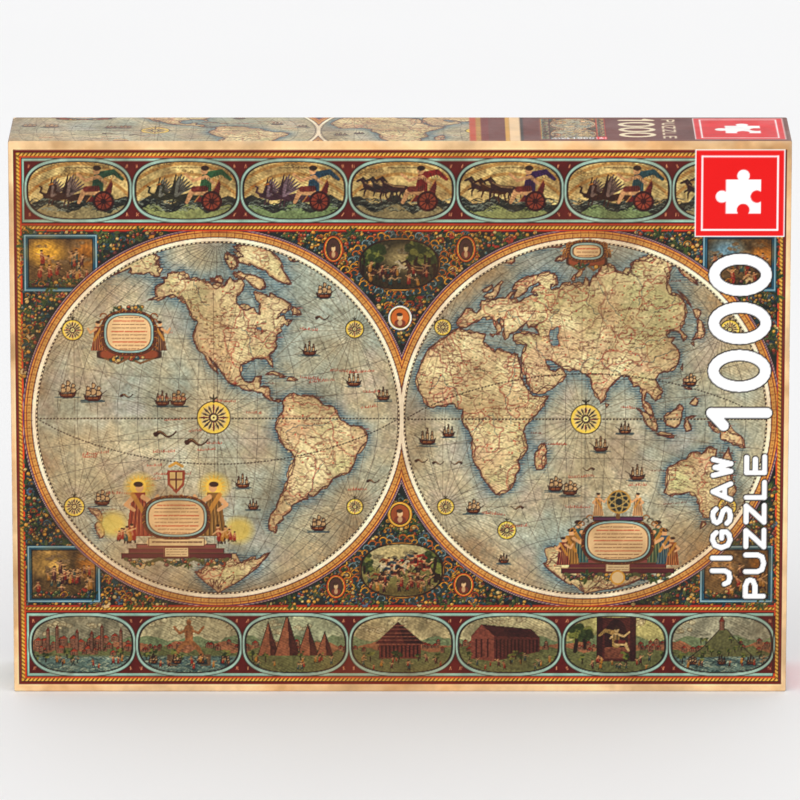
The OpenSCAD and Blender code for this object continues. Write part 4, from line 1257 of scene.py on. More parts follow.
def ridge(p, u, v, b, line, colour, strength=0.9):
    """Fills an oval from its foot up to a line of hills."""
    p.fill([(u - 26, v - b)] + [(u + x, v + y * b) for x, y in line] + [(u + 26, v - b)], colour, strength)


def sky_scene(p, k, u, v, a, b, rng):
    """One of the upper ovals: a rider in a chariot drawn over dark waves under a yellow sky."""
    panel(p, u, v, a, b, (222, 192, 128), rng)
    tint(p, p.window(u - a, v - b, u + a, v + b)[0], (176, 140, 90), 0.7, 8, rng)
    for r in (30, 35, 40):
        p.oval(u, v - 22, r * 1.05, r, (178, 122, 62), 0.6, line=1.6)
    for _ in range(4):
        cloud(p, u + rng.uniform(-0.9, 0.9) * a, v + rng.uniform(0.5, 0.95) * b, rng.uniform(2, 3.5), rng,
              (204, 168, 104))
    scribble(p, u - 7, v + 0.72 * b, u + 7, v + 0.86 * b, 1, INK, rng, 0.6, 0.4)
    hills = [(x, -0.34 + 0.16 * math.sin(0.35 * x + k) + rng.uniform(-0.05, 0.05))
             for x in np.arange(-25, 26, 2.5)]
    ridge(p, u, v, b, hills, (58, 58, 52), 0.95)
    ridge(p, u, v, b, [(x, y - 0.3) for x, y in hills], SKY_HILLS[k % 3])
    waves(p, u - a, u + a, v - 0.72 * b, v - 0.3 * b, rng, (30, 34, 36), (150, 156, 136))
    if k in (3, 4, 6):
        for n in (2, 1, 0):
            horse(p, u - 4 - 4.6 * n, v - 0.2 * b + rng.uniform(-0.4, 1.2), 7.0, -1, rng,
                  TEAMS[k] if n % 2 else (72, 46, 44))
    else:
        for n in (1, 0):
            bird(p, u - 5 - 7.5 * n, v - 0.24 * b, 7.2 - n, -1, TEAMS[k])
    chariot(p, u + 9, v, b, CAPES[k])
    close_panel(p, u, v, a, b, rng)


def chariot(p, u, v, b, cape):
    """A chariot facing left with its rider, and a wheel with ten spokes."""
    at = placer(u, v, -1, b)
    p.fill([at(*q) for q in ((5, -0.4), (2, -0.12), (-3, -0.1), (-6.5, 0.4), (-7.5, 0.2), (-6, -0.4))],
           (112, 44, 42), 0.97)
    p.stroke([at(*q) for q in ((5, -0.4), (2, -0.12), (-3, -0.1), (-7, 0.42))], 0.6, (200, 140, 80), 0.8)
    rider(p, u, v - 0.16 * b, 14.0, -1, cape)
    hub, low = u + 3, v - 0.38 * b
    for r, tone in ((5.0, (70, 28, 26)), (3.9, (150, 72, 52)), (1.3, (60, 26, 24))):
        p.oval(hub, low, r, r, tone, 0.97)
    for _, _, x, y in around(10, hub, low, 4.4, 4.4):
        p.stroke([(hub, low), (x, y)], 0.5, (70, 28, 26), 0.9)


def wonder_scene(p, k, u, v, a, b, rng):
    """One of the lower ovals: hills and houses, one of the seven wonders, and people and trees in front."""
    panel(p, u, v, a, b, WONDER_SKIES[k], rng)
    for _ in range(4):
        cloud(p, u + rng.uniform(-0.9, 0.9) * a, v + rng.uniform(0.4, 0.95) * b, rng.uniform(3, 5), rng,
              (214, 196, 152))
    for n, tone in enumerate(((124, 134, 96), (168, 108, 76), (112, 116, 74))):
        top = [(x, 0.22 - 0.2 * n + 0.1 * math.sin(0.3 * x + 2 * n + k) + rng.uniform(-0.05, 0.05))
               for x in np.arange(-25, 26, 2.5)]
        ridge(p, u, v, b, top, tone)
    if k in (0, 1, 6):
        p.box(u - a, v - b, u + a, v - 0.42 * b, (110, 130, 120), 0.9, 1.5)
        waves(p, u - a, u + a, v - b, v - 0.45 * b, rng, (72, 88, 86), (176, 180, 150))
    for _ in range(16):
        house(p, u + rng.uniform(-1, 1) * a, v + rng.uniform(-0.3, 0.0) * b, rng.uniform(1.6, 3),
              rng.uniform(1, 2.4))
    (city, colossus, pyramids, tomb, temple, hall, island)[k](p, u, v, b, rng)
    for _ in range(13):
        figure(p, u + rng.uniform(-0.85, 0.85) * a, v - rng.uniform(0.6, 0.92) * b, rng.uniform(2.6, 4.6),
               rng)
    for _ in range(5):
        tree(p, u + rng.uniform(-0.95, 0.95) * a, v - rng.uniform(0.45, 0.7) * b, rng.uniform(3, 5), rng)
    close_panel(p, u, v, a, b, rng)


def city(p, u, v, b, rng):
    """Red roofs and six spires."""
    for _ in range(34):
        house(p, u + rng.uniform(-0.95, 0.95) * OVAL_HALF, v + rng.uniform(-0.42, 0.12) * b,
              rng.uniform(2, 4),
              rng.uniform(1.4, 3.5), (176, 78, 52))
    for n in range(6):
        tower(p, u + (n - 2.5) * 7 + rng.uniform(-2, 2), v - 0.2 * b, 1.6, rng.uniform(6, 11))


def colossus(p, u, v, b, rng):
    """A bronze giant astride a harbour mouth, with ships below."""
    at = placer(u, v, 1, b)
    for side in (-1, 1):
        p.box(u + side * 8 - 2.5, v - 0.75 * b, u + side * 8 + 2.5, v - 0.35 * b, (120, 92, 66))
        limbs(p, at, 1, (
            ([(0, 0.15), (side * 4, -0.1), (side * 6.5, -0.4)], 2.6, BRONZE, 0.97, 1.7),
            ([(0, 0.55), (side * 4.5, 0.4), (side * 7, 0.62)], 1.5, BRONZE, 0.97, 1.1)))
    limbs(p, at, 1, (
        ([(0, 0.1), (0, 0.55)], 3.6, BRONZE, 0.97, 4.4),
        ([(-1, 0.12), (-1, 0.5)], 0.9, (140, 88, 52), 0.8)))
    p.oval(u, v + 0.78 * b, 1.2, 1.5, BRONZE, 0.97)
    for n in range(4):
        ship(p, u + (n - 1.5) * 11.5, v - 0.62 * b, 2.3, rng)


def pyramids(p, u, v, b, rng):
    """Four tall pyramids, dark on one side."""
    for du, w, h in ((-13, 5, 17), (-4, 6, 21), (6, 5, 16), (14, 4, 12)):
        at = placer(u + du, v - 0.4 * b)
        sides = [at(-w, 0), at(0, h), at(w, 0)]
        p.fill(sides, (156, 98, 70))
        p.fill([at(0, h), at(w, 0), at(0.2 * w, 0)], (86, 48, 38))
        p.stroke(sides, 0.3, INK, 0.8)


def tomb(p, u, v, b, rng):
    """A columned block under a stepped roof."""
    at = placer(u, v, 1, b)
    p.box(*at(-11, -0.5), *at(9, 0.02), (118, 62, 50))
    p.fill([at(-13, 0.02), at(-2, 0.82), at(11, 0.02)], (92, 46, 40))
    p.fill([at(-2, 0.82), at(11, 0.02), at(1, 0.02)], (66, 32, 30))
    for n in range(6):
        w, y = 12 - 1.9 * n, 0.02 + 0.13 * n
        p.stroke([at(-1.5 - w, y), at(-1.5 + w, y)], 0.4, (170, 108, 84), 0.7)
    for x in np.arange(-10, 9, 1.9):
        p.box(*at(x, -0.46), *at(x + 0.7, -0.04), (58, 28, 26))


def temple(p, u, v, b, rng):
    """A long temple seen from a corner."""
    at = placer(u, v, 1, b)
    for points, tone in (([(-18, -0.5), (-18, 0.3), (-13, 0.72), (-7, 0.3), (-7, -0.6)], (140, 78, 64)),
                         ([(-7, -0.6), (-7, 0.3), (15, 0.24), (15, -0.25)], (96, 48, 44)),
                         ([(-7, 0.3), (-13, 0.72), (11, 0.55), (15, 0.24)], (72, 36, 36))):
        p.fill([at(*q) for q in points], tone)
    for n in range(12):
        x = -6 + 1.75 * n
        p.box(*at(x, -0.5 + 0.022 * n), *at(x + 0.6, 0.18), (52, 24, 26))
    for x in (-16, -13.5, -10.5):
        p.box(*at(x, -0.45), *at(x + 0.9, 0.2), (84, 44, 40))


def hall(p, u, v, b, rng):
    """A tall hall with a seated figure in its niche, and trees beside it."""
    for _ in range(5):
        tree(p, u - 17 + rng.uniform(-3, 3), v - 0.2 * b + rng.uniform(-2, 2), rng.uniform(9, 13), rng)
    at = placer(u, v, 1, b)
    p.box(*at(-9, -0.6), *at(10, 0.96), (92, 48, 42))
    for x in (-7.5, 8.5):
        p.box(*at(x - 1.4, -0.6), *at(x + 1.4, 0.96), (70, 36, 34))
    p.oval(u + 0.5, v + 0.2 * b, 5.6, 0.7 * b, (62, 34, 32))
    p.box(*at(-5, -0.5), *at(6, -0.1), (134, 82, 62))
    rider(p, u + 0.5, v - 0.05 * b, 9.5, 1, (176, 140, 84), (206, 172, 118))


def island(p, u, v, b, rng):
    """A wooded island with a light tower, and ships round it."""
    hill = [(-15, -0.45), (-9, -0.1), (-4, 0.3), (0, 0.62), (3, 0.5), (8, 0.05), (15, -0.42)]
    hill = [(u + x, v + y * b) for x, y in hill]
    p.fill(hill, (112, 108, 70))
    p.stroke(hill, 0.4, INK, 0.7)
    tower(p, u, v + 0.5 * b, 2.4, 4.5)
    for _ in range(12):
        tree(p, u + rng.uniform(-11, 11), v + rng.uniform(-0.45, 0.1) * b, 3, rng)
    for n in range(3):
        ship(p, u + (n - 1) * 14, v - 0.66 * b, 2.2, rng)


def band(p, low, high, scene, rng):
    """A band of seven ovals on aqua, parted by thin lines."""
    p.box(-INNER_U, low, INNER_U, high, AQUA)
    for k in range(7):
        scene(p, k, OVAL_PITCH * (k - 3) + OVAL_SHIFT, (low + high) / 2, OVAL_HALF, (high - low) / 2 - 1.9,
              rng)
    mottle(p, p.window(-INNER_U, low, INNER_U, high)[0], 0.1, 5, rng)
    p.frame(-INNER_U, low, INNER_U, high, 0.4, (60, 44, 38))


# ------------------------------------------------------------ the whole picture

# Compass roses, by place and radius
ROSES = ((-88.6, 135.4, 7.9), (-155.3, 178.2, 5.0), (-155.3, 91.6, 4.8), (-21.5, 178.7, 4.3),
         (-21.5, 91.6, 3.9),
         (88.4, 134.7, 7.2), (21.8, 91.6, 4.0), (20.3, 179.6, 4.0), (156.5, 178.5, 4.6), (156.0, 91.6, 4.4))
MEDALLIONS = ((-31.5, 217.7, 3.4, 5.2), (31.2, 217.7, 3.4, 5.2), (-30.6, 52.1, 3.4, 4.6),
              (30.4, 53.0, 3.6, 4.6))
GARLAND_R = 94  # the garlands keep this far from the middle of a hemisphere


def off_the_discs(u, v):
    return min(math.hypot(u - h.u, v - h.v) for h in (WEST, EAST)) > GARLAND_R


def world(p, rng):
    """The whole antique map picture, inside the parchment margin."""
    braid(p, -182.7, 3.7, 182.7, 265.7, rng)
    band(p, BAND_HIGH, INNER_HIGH, sky_scene, rng)
    band(p, INNER_LOW, BAND_LOW, wonder_scene, rng)
    p.box(-INNER_U, MAP_LOW, INNER_U, MAP_HIGH + 0.6, (44, 46, 42))
    strip(p, -INNER_U, MAP_HIGH, INNER_U, BAND_HIGH, rng)
    strip(p, -INNER_U, BAND_LOW, INNER_U, MAP_LOW, rng)
    between_discs(p, rng)
    for h in (WEST, EAST):
        where, land, disc, base = hemisphere(p, h, rng)
        p.clip_to(where, disc)
        sea_life(p, h, land, rng)
        map_lines(p, h)
        engrave(p, where, 0.12, rng)
        p.clip = None
        p.rgb[where] = base + (p.rgb[where] - base) * disc[..., None]
    rings(p)
    for u, v, r in ROSES:
        rose(p, u, v, r)
    cartouche(p, -128.6, 176.8, 10.5, 8.6, rng)
    left_title(p, rng)
    right_title(p, rng)
    cartouche(p, 88.4, 216.6, 6.6, 3.0, rng)


def between_discs(p, rng):
    """Garlands, two oval scenes, six medallions and four corner scenes round the hemispheres."""
    garland(p, -INNER_U, MAP_LOW, INNER_U, MAP_HIGH, rng, off_the_discs)
    mottle(p, p.window(-INNER_U, MAP_LOW, INNER_U, MAP_HIGH)[0], 0.2, 6, rng)
    big_scene(p, -0.4, 210.2, 18.5, 12.0, rng, dark=True)
    big_scene(p, 0.8, 60.2, 19.5, 13.0, rng)
    for place in MEDALLIONS:
        medallion(p, *place)
    medallion(p, 0, 184.2, 4.4, 4.8, (214, 214, 206), (190, 104, 48))
    medallion(p, 0, 87.8, 4.6, 5.0, (206, 150, 60), (150, 82, 48))
    for left, right, upper, lower in ((-178.2, -143.2, (238, 176, 62), (206, 160, 86)),
                                      (143.2, 178.2, (120, 150, 160), (176, 130, 80))):
        vignette(p, left, 197.0, right, 224.8, upper, rng)
        vignette(p, left, 44.2, right, 72.4, lower, rng)


# ------------------------------------------------------------ lettering and label

# Letters as strokes on a grid one wide and one high
LETTERS = {
    "1": [[(0.2, 0.78), (0.62, 1), (0.62, 0)]],
    "0": [[(0.5 + 0.5 * math.sin(k * math.pi / 12),
            0.5 + 0.5 * math.cos(k * math.pi / 12)) for k in range(25)]],
    "P": [[(0, 0), (0, 1), (0.62, 1), (0.92, 0.88), (0.98, 0.74), (0.92, 0.58), (0.62, 0.47), (0, 0.47)]],
    "U": [[(0, 1), (0, 0.34), (0.12, 0.1), (0.5, 0), (0.88, 0.1), (1, 0.34), (1, 1)]],
    "Z": [[(0.02, 1), (0.98, 1), (0, 0), (1, 0)]],
    "L": [[(0, 1), (0, 0), (0.9, 0)]],
    "E": [[(0.92, 1), (0, 1), (0, 0), (0.95, 0)], [(0, 0.52), (0.82, 0.52)]],
    "J": [[(0.85, 1), (0.85, 0.3), (0.7, 0.06), (0.4, 0), (0.12, 0.08), (0, 0.3)]],
    "I": [[(0.5, 0), (0.5, 1)]],
    "G": [[(0.96, 0.8), (0.78, 0.96), (0.5, 1), (0.16, 0.86), (0, 0.5), (0.16, 0.14), (0.5, 0),
           (0.84, 0.08), (1, 0.22), (1, 0.48), (0.6, 0.48)]],
    "S": [[(0.92, 0.82), (0.74, 0.97), (0.46, 1), (0.16, 0.92), (0.06, 0.76), (0.18, 0.6), (0.8, 0.42),
           (0.95, 0.25), (0.82, 0.07), (0.5, 0), (0.2, 0.04), (0.02, 0.2)]],
    "A": [[(0, 0), (0.5, 1), (1, 0)], [(0.17, 0.34), (0.83, 0.34)]],
    "W": [[(0, 1), (0.26, 0), (0.5, 0.9), (0.74, 0), (1, 1)]],
}


def write(p, text, u, v, along, up, size, width, gap, line, colour, edge=None):
    """Writes words from a corner: along and up are unit directions, size the letter's height."""
    for ring, tone in ((edge, INK), (0.0, colour)):
        if ring is None:
            continue
        x = 0.0
        for letter in text:
            wide = width * {"I": 0.25, "1": 0.62}.get(letter, 1.0)
            for path in LETTERS.get(letter, []):
                lean = [(x + a * wide if letter != "I" else x + wide / 2, b * size) for a, b in path]
                p.stroke([(u + along[0] * a + up[0] * b, v + along[1] * a + up[1] * b) for a, b in lean],
                         line + 2 * ring, tone)
            x += wide + gap


def jigsaw_mark(p, u, v, s, colour):
    """A plain jigsaw piece: two tabs and two sockets."""
    ground = p.rgb[p.window(u, v, u, v)[0]].mean((0, 1)) * 255
    p.box(u - s, v - s, u + s, v + s, colour)
    for x, y, out in ((0, 1.22, 1), (-1.22, 0, 1), (0, -0.78, 0), (0.78, 0, 0)):
        p.oval(u + x * s, v + y * s, 0.36 * s, 0.36 * s, colour if out else ground)


def red_label(p, u0, v0, u1, v1):
    """A red label with a white line round it and a white jigsaw piece."""
    p.box(u0 - 0.5, v0 - 0.5, u1 + 0.5, v1 + 0.5, (250, 246, 240))
    p.box(u0, v0, u1, v1, LABEL_RED)
    s = min(u1 - u0, v1 - v0)
    p.frame(u0 + 0.06 * s, v0 + 0.06 * s, u1 - 0.06 * s, v1 - 0.06 * s, 0.02 * s, (252, 250, 246))
    jigsaw_mark(p, (u0 + u1) / 2 + 0.04 * s, (v0 + v1) / 2 - 0.04 * s, 0.2 * s, (252, 250, 246))


# ------------------------------------------------------------ the lid's sheet

FRONT_STEP = 0.21
FRONT_LOW, FRONT_HIGH = (-186, -1), (186, 271)
PICTURE = (-182.5, 4, 182.5, 265)  # the printed picture without its margin
WALL_D = 53.5


def age(p, rng):
    """Brown stains and a little dirt, as on an old map."""
    tint(p, ALL, (150, 104, 60), 0.3, 70, rng)
    tint(p, ALL, (92, 66, 40), 0.22, 24, rng)
    mottle(p, ALL, 0.07, 9, rng)


def paint_front(rng):
    p = Print(FRONT_LOW, FRONT_HIGH, FRONT_STEP)
    p.flood(PARCHMENT)
    tint(p, ALL, (206, 150, 96), 0.5, 26, rng)
    world(p, rng)
    age(p, rng)
    title(p)
    return p


def title(p):
    """The piece count, two words and the label along the right side."""
    up, along = (-1, 0), (0, 1)
    write(p, "1", 174.4, 128.5, along, up, 26.2, 24, 4, 5.1, WHITE, 0.55)
    for v in (150.6, 173.9, 197.4):
        write(p, "0", 173.6, v, along, up, 24.8, 15.4, 4, 5.1, WHITE, 0.55)
    write(p, "JIGSAW", 157.6, 53.4, along, up, 8.4, 7.8, 4.1, 2.5, WHITE, 0.5)
    write(p, "PUZZLE", 173.7, 47.4, along, up, 8.6, 8.2, 4.0, 2.5, WHITE, 0.5)
    red_label(p, 139.8, 224.1, 181.3, 265.4)


def patch(source, u0, v0, u1, v1, shape):
    """A part of a finished print, resampled to fit a shape in grid points."""
    v = np.linspace(v0, v1, shape[0])[:, None] + np.zeros(shape)
    u = np.linspace(u0, u1, shape[1])[None, :] + np.zeros(shape)
    return source.sample(u, v)


def put_patch(p, source, target, region, turned=False):
    """Copies a region of a finished print into a target box, turned to read down the wall if asked."""
    where, _, _ = p.window(*target)
    shape = p.rgb[where].shape[:2]
    if turned:
        p.rgb[where] = patch(source, *region, shape[::-1]).transpose(1, 0, 2)[::-1]
    else:
        p.rgb[where] = patch(source, *region, shape)


def paint_wall(front, length, rng, top):
    """One wall of the lid: along it from 0 to its length, and from 0 at the front edge to the rim. The top
    wall reads downwards; the others read level, seen with the front edge up."""
    p = Print((0, 0), (length, WALL_D + 0.5), 0.3)
    p.flood(MAROON)
    tint(p, ALL, (70, 26, 22), 0.4, 16, rng)
    end = length - 152
    start = -168 if top else -120
    put_patch(p, front, (-1, -1, end, WALL_D + 1), (start, 108, start + (end + 1) * 1.15, 108 + 55 * 1.15))
    for low, high, tone in ((0, 3, ORANGE_RED), (3, 5.5, GOLD), (5.5, 9, DARK_RED), (9, 17, MAROON),
                            (17, 19, GOLD), (19, 24, PARCHMENT), (24, 25.5, INK)):
        p.box(end + low, -1, end + high, WALL_D + 1, tone)
    twist(p, (end + 4.2, 0), (end + 4.2, WALL_D), rng, 1.6)
    box = (end + 34, 4, end + 64, 50) if top else (end + 30, 10, end + 72, 40)
    p.box(box[0] - 0.6, box[1] - 0.6, box[2] + 0.6, box[3] + 0.6, CREAM)
    put_patch(p, front, box, PICTURE, top)
    if top:
        write(p, "1000", end + 72, 49.5, (0, -1), (1, 0), 15, 8.4, 3.2, 2.6, CREAM)
        write(p, "PUZZLE", end + 92, 47.5, (0, -1), (1, 0), 5.4, 4.8, 2.6, 1.0, CREAM)
    else:
        write(p, "1000", end + 118, 40, (-1, 0), (0, -1), 14, 7.0, 3.0, 2.2, CREAM)
        write(p, "PUZZLE", end + 117, 17.5, (-1, 0), (0, -1), 5.0, 4.2, 2.4, 1.0, CREAM)
    red_label(p, end + 107 if top else end + 122, 4, length - 3, WALL_D - 3)
    mottle(p, ALL, 0.06, 7, rng)
    return p


def paint_tray_back(front, half_w, half_h, rng):
    """The tray's panel: maroon with a cream border, a small map and a plain band."""
    p = Print((-half_w, 0), (half_w, 2 * half_h), 0.5)
    p.flood(TRAY_MAROON)
    tint(p, ALL, TRAY_SHADE, 0.7, 40, rng)
    h = 2 * half_h
    p.frame(-half_w + 9, 9, half_w - 9, h - 9, 0.8, GOLD)
    p.frame(-half_w + 11, 11, half_w - 11, h - 11, 0.4, (196, 120, 60))
    p.box(-130.8, 74.8, 61.8, 213.2, CREAM)
    put_patch(p, front, (-130, 75.6, 61, 212.4), PICTURE)
    write(p, "1000", 78, 160, (1, 0), (0, 1), 32, 15.5, 6, 4.6, CREAM)
    write(p, "PUZZLE", 79, 138, (1, 0), (0, 1), 9.5, 9, 5, 1.6, CREAM)
    jigsaw_mark(p, 118, 100, 11, (206, 158, 92))
    for k in range(3):
        u = -118 + 62 * k
        p.frame(u, 26, u + 54, 62, 0.6, GOLD)
        detail = (-178 + 62 * k, 60 + 40 * k, -100 + 62 * k, 111 + 40 * k)
        put_patch(p, front, (u + 0.8, 26.8, u + 53.2, 61.2), detail)
    mottle(p, ALL, 0.06, 9, rng)
    return p


def paint_tray_wall(length, depth, rng):
    p = Print((0, 0), (length, depth), 1.0)
    p.flood(TRAY_MAROON)
    tint(p, ALL, TRAY_SHADE, 0.7, 30, rng)
    p.box(-1, 6.0, length + 1, 7.2, (180, 122, 58))
    mottle(p, ALL, 0.06, 7, rng)
    return p


# ------------------------------------------------------------ meshes

def linear(rgb):
    """sRGB 0 to 1 as linear light."""
    rgb = np.clip(rgb, 0, 1)
    return np.where(rgb <= 0.04045, rgb / 12.92, ((rgb + 0.055) / 1.055) ** 2.4)


def build_mesh(name, points, faces, colours=None, smooth=True):
    """A mesh object from points in metres and lists of faces, with a print colour for each point."""
    mesh = bpy.data.meshes.new(name)
    sizes = np.array([len(f) for f in faces], np.int32)
    loops = np.concatenate([np.asarray(f, np.int32).ravel() for f in faces])
    counts = np.concatenate([np.full(len(f), np.asarray(f).shape[1], np.int32) for f in faces])
    starts = np.concatenate([[0], np.cumsum(counts)[:-1]]).astype(np.int32)
    mesh.vertices.add(len(points))
    mesh.vertices.foreach_set("co", np.asarray(points, np.float32).ravel())
    mesh.loops.add(len(loops))
    mesh.loops.foreach_set("vertex_index", loops)
    mesh.polygons.add(int(sizes.sum()))
    mesh.polygons.foreach_set("loop_start", starts)
    mesh.polygons.foreach_set("use_smooth", np.full(int(sizes.sum()), smooth))
    mesh.update(calc_edges=True)
    mesh.validate()
    if colours is not None:
        rgba = np.ones((len(points), 4), np.float32)
        rgba[:, :3] = linear(colours)
        mesh.color_attributes.new("print", "FLOAT_COLOR", "POINT").data.foreach_set("color", rgba.ravel())
    piece = bpy.data.objects.new(name, mesh)
    bpy.context.scene.collection.objects.link(piece)
    return piece


def grid_faces(rows, columns, first=0, closed=False):
    """Quads of a grid of points, row by row. A closed grid joins its last column to its first."""
    j, i = np.mgrid[0:rows - 1, 0:columns if closed else columns - 1]
    k = (i + 1) % columns
    return first + np.stack([j * columns + i, j * columns + k, (j + 1) * columns + k, (j + 1) * columns + i],
                            -1).reshape(-1, 4)


def shell_faces(rows, columns, first=0):
    """The faces of two equal grids of points, one after the other, closed round their rims."""
    n = rows * columns
    index = np.arange(n).reshape(rows, columns) + first
    rim = np.concatenate([index[0, :-1], index[:-1, -1], index[-1, :0:-1], index[:0:-1, 0]])
    after = np.roll(rim, -1)
    return [grid_faces(rows, columns, first), grid_faces(rows, columns, first + n)[:, ::-1],
            np.stack([rim, rim + n, after + n, after], 1)]


def box_mm(node):
    """The low and high corners of a node's box in millimetres."""
    low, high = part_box(node)
    return 1000 * np.array(low), 1000 * np.array(high)


# ------------------------------------------------------------ the folded sheets of the lid and the tray

ROUND = 0.8  # radius of the box's edges
RIM_ROUND = 0.55
WALL_T, WRAP_T, TURN_IN = 2.1, 0.25, 15.0
SEEN = 76.0  # length of sheet past the panel's edge that can be seen


def section(depth, pitch):
    """The sheet's path as stations: (inset from the outer face, depth, length along the sheet)."""
    out = [(0.0, y, y) for y in np.linspace(0, depth - RIM_ROUND, int(depth / pitch) + 2)]
    turn = [(RIM_ROUND * (1 - math.cos(a)), depth - RIM_ROUND * (1 - math.sin(a)))
            for a in np.linspace(0.4, math.pi / 2, 4)]
    back = [(WALL_T - x, y) for x, y in reversed(turn)]
    inner = [(WALL_T, y) for y in np.linspace(depth - RIM_ROUND, depth - TURN_IN, 6)]
    under = [(WALL_T - WRAP_T, depth - TURN_IN), (WALL_T - WRAP_T, depth - WRAP_T), (WRAP_T, depth - WRAP_T),
             (WRAP_T, WRAP_T)]
    s = out[-1][2]
    last = out[-1][:2]
    for point in turn + back + inner + under:
        s += math.dist(point, last)
        out.append((point[0], point[1], s))
        last = point
    return out


def clamp_round(p, half_w, half_h, depth_low, radius):
    """Rounds the edges of a box: every point is pulled to a given distance from the box shrunk by it."""
    low = np.array([-half_w + radius, depth_low + radius, -half_h + radius])
    high = np.array([half_w - radius, 1e9, half_h - radius])
    near = np.clip(p, low, high)
    gap = p - near
    length = np.linalg.norm(gap, axis=1, keepdims=True)
    return near + gap * (radius / np.maximum(length, 1e-9))


def folded_sheet(name, w, h, depth, pitch, wall_pitch, front, walls, place):
    """The printed sheet over a tray or lid of w x h x depth, in its true thickness: panel, walls, rim, hem.
    front and walls (top, right, bottom, left) are prints; place puts sheet points into the box's frame."""
    nx, nz = int(round(w / pitch)), int(round(h / pitch))
    x, z = np.linspace(-w / 2, w / 2, nx + 1), np.linspace(-h / 2, h / 2, nz + 1)
    gx, gz = np.meshgrid(x, z)
    panel = np.stack([gx.ravel(), np.zeros(gx.size), gz.ravel()], 1)
    panel_colour = front.sample(gx.ravel(), gz.ravel() + h / 2)
    index = np.arange(gx.size).reshape(nz + 1, nx + 1)

    # The ring runs along the bottom, right, top and left edges of the panel.
    ring = np.concatenate([index[0, :-1], index[:-1, -1], index[-1, :0:-1], index[:0:-1, 0]])
    side = np.concatenate([np.full(nx, 2), np.full(nz, 1), np.full(nx, 0), np.full(nz, 3)])
    rx, rz = panel[ring, 0], panel[ring, 2]
    stations = section(depth, wall_pitch)
    points, colours = [panel], [panel_colour]
    for k, (inset, y, s) in enumerate(stations[1:]):
        p = np.stack([rx * (1 - 2 * inset / w), np.full(len(ring), y), rz * (1 - 2 * inset / h)], 1)
        p = clamp_round(p, w / 2 - inset, h / 2 - inset, -9, max(ROUND - inset, 0.02)) if y > ROUND else p
        points.append(p)
        tone = np.zeros((len(ring), 3))
        for n, along in ((0, rx + w / 2), (1, h / 2 - rz), (2, w / 2 - rx), (3, rz + h / 2)):
            at = side == n
            tone[at] = walls[n].sample(along[at], np.full(at.sum(), s))
        if k >= len(stations) - 5:
            tone[:] = 0.8  # the unprinted back of the paper
        colours.append(tone)
    points = np.concatenate(points)
    rounded = points[:, 1] <= ROUND
    rounded[len(panel) + (len(stations) - 5) * len(ring):] = False
    points[rounded] = clamp_round(points[rounded], w / 2, h / 2, 0.0, ROUND)

    n = len(ring)
    first = len(panel)
    faces = [grid_faces(nz + 1, nx + 1)]
    hem = np.stack([ring, first + np.arange(n), first + (np.arange(n) + 1) % n, np.roll(ring, -1)], 1)
    faces.append(hem)
    faces.append(grid_faces(len(stations) - 1, n, first, True)[:, ::-1])
    last = first + (len(stations) - 2) * n
    faces.append((last + np.arange(n))[None, ::-1])
    piece = build_mesh(name, place(points) / 1000, faces, np.concatenate(colours))
    flat_uv(piece, panel, ring, side, [s for _, _, s in stations], w, h)
    edge_wear(piece, points, w, h, depth)
    return piece


def flat_uv(piece, panel, ring, side, lengths, w, h):
    """A UV map for baking that unfolds the sheet: its panel in the middle, each wall beside its own edge."""
    flat = [panel[:, (0, 2)]]
    out = np.array([(0, 1), (1, 0), (0, -1), (-1, 0)])[side]
    for s in lengths[1:]:
        flat.append(panel[ring][:, (0, 2)] + out * (min(s, SEEN) + 0.1 * max(s - SEEN, 0)))
    flat = np.concatenate(flat)
    loops = np.empty(len(piece.data.loops), np.int32)
    piece.data.loops.foreach_get("vertex_index", loops)
    spread = flat[loops]
    # The hidden last face goes small into a free corner of the map.
    spread[-len(ring):] = 0.1 * panel[ring][::-1][:, (0, 2)] - (0.5 * w + 0.8 * SEEN, 0.5 * h + 0.8 * SEEN)
    size = w + 2 * SEEN + 20
    uv = piece.data.uv_layers.new(name="OFBake")
    uv.data.foreach_set("uv", (spread / size + 0.5).astype(np.float32).ravel())


def edge_wear(piece, points, w, h, depth):
    """How near each point is to an edge of the box, as an attribute for the wear in the material."""
    x, y, z = np.abs(points[:, 0]), points[:, 1], np.abs(points[:, 2])
    a, b, c = w / 2 - x, h / 2 - z, y
    rim = depth - y
    d = np.sort(np.stack([a, b, np.minimum(c, rim)], 1), 1)[:, 1]
    wear = np.exp(-np.maximum(d, 0) / 1.1)
    piece.data.attributes.new("wear", "FLOAT", "POINT").data.foreach_set("value", wear.astype(np.float32))


# ------------------------------------------------------------ materials

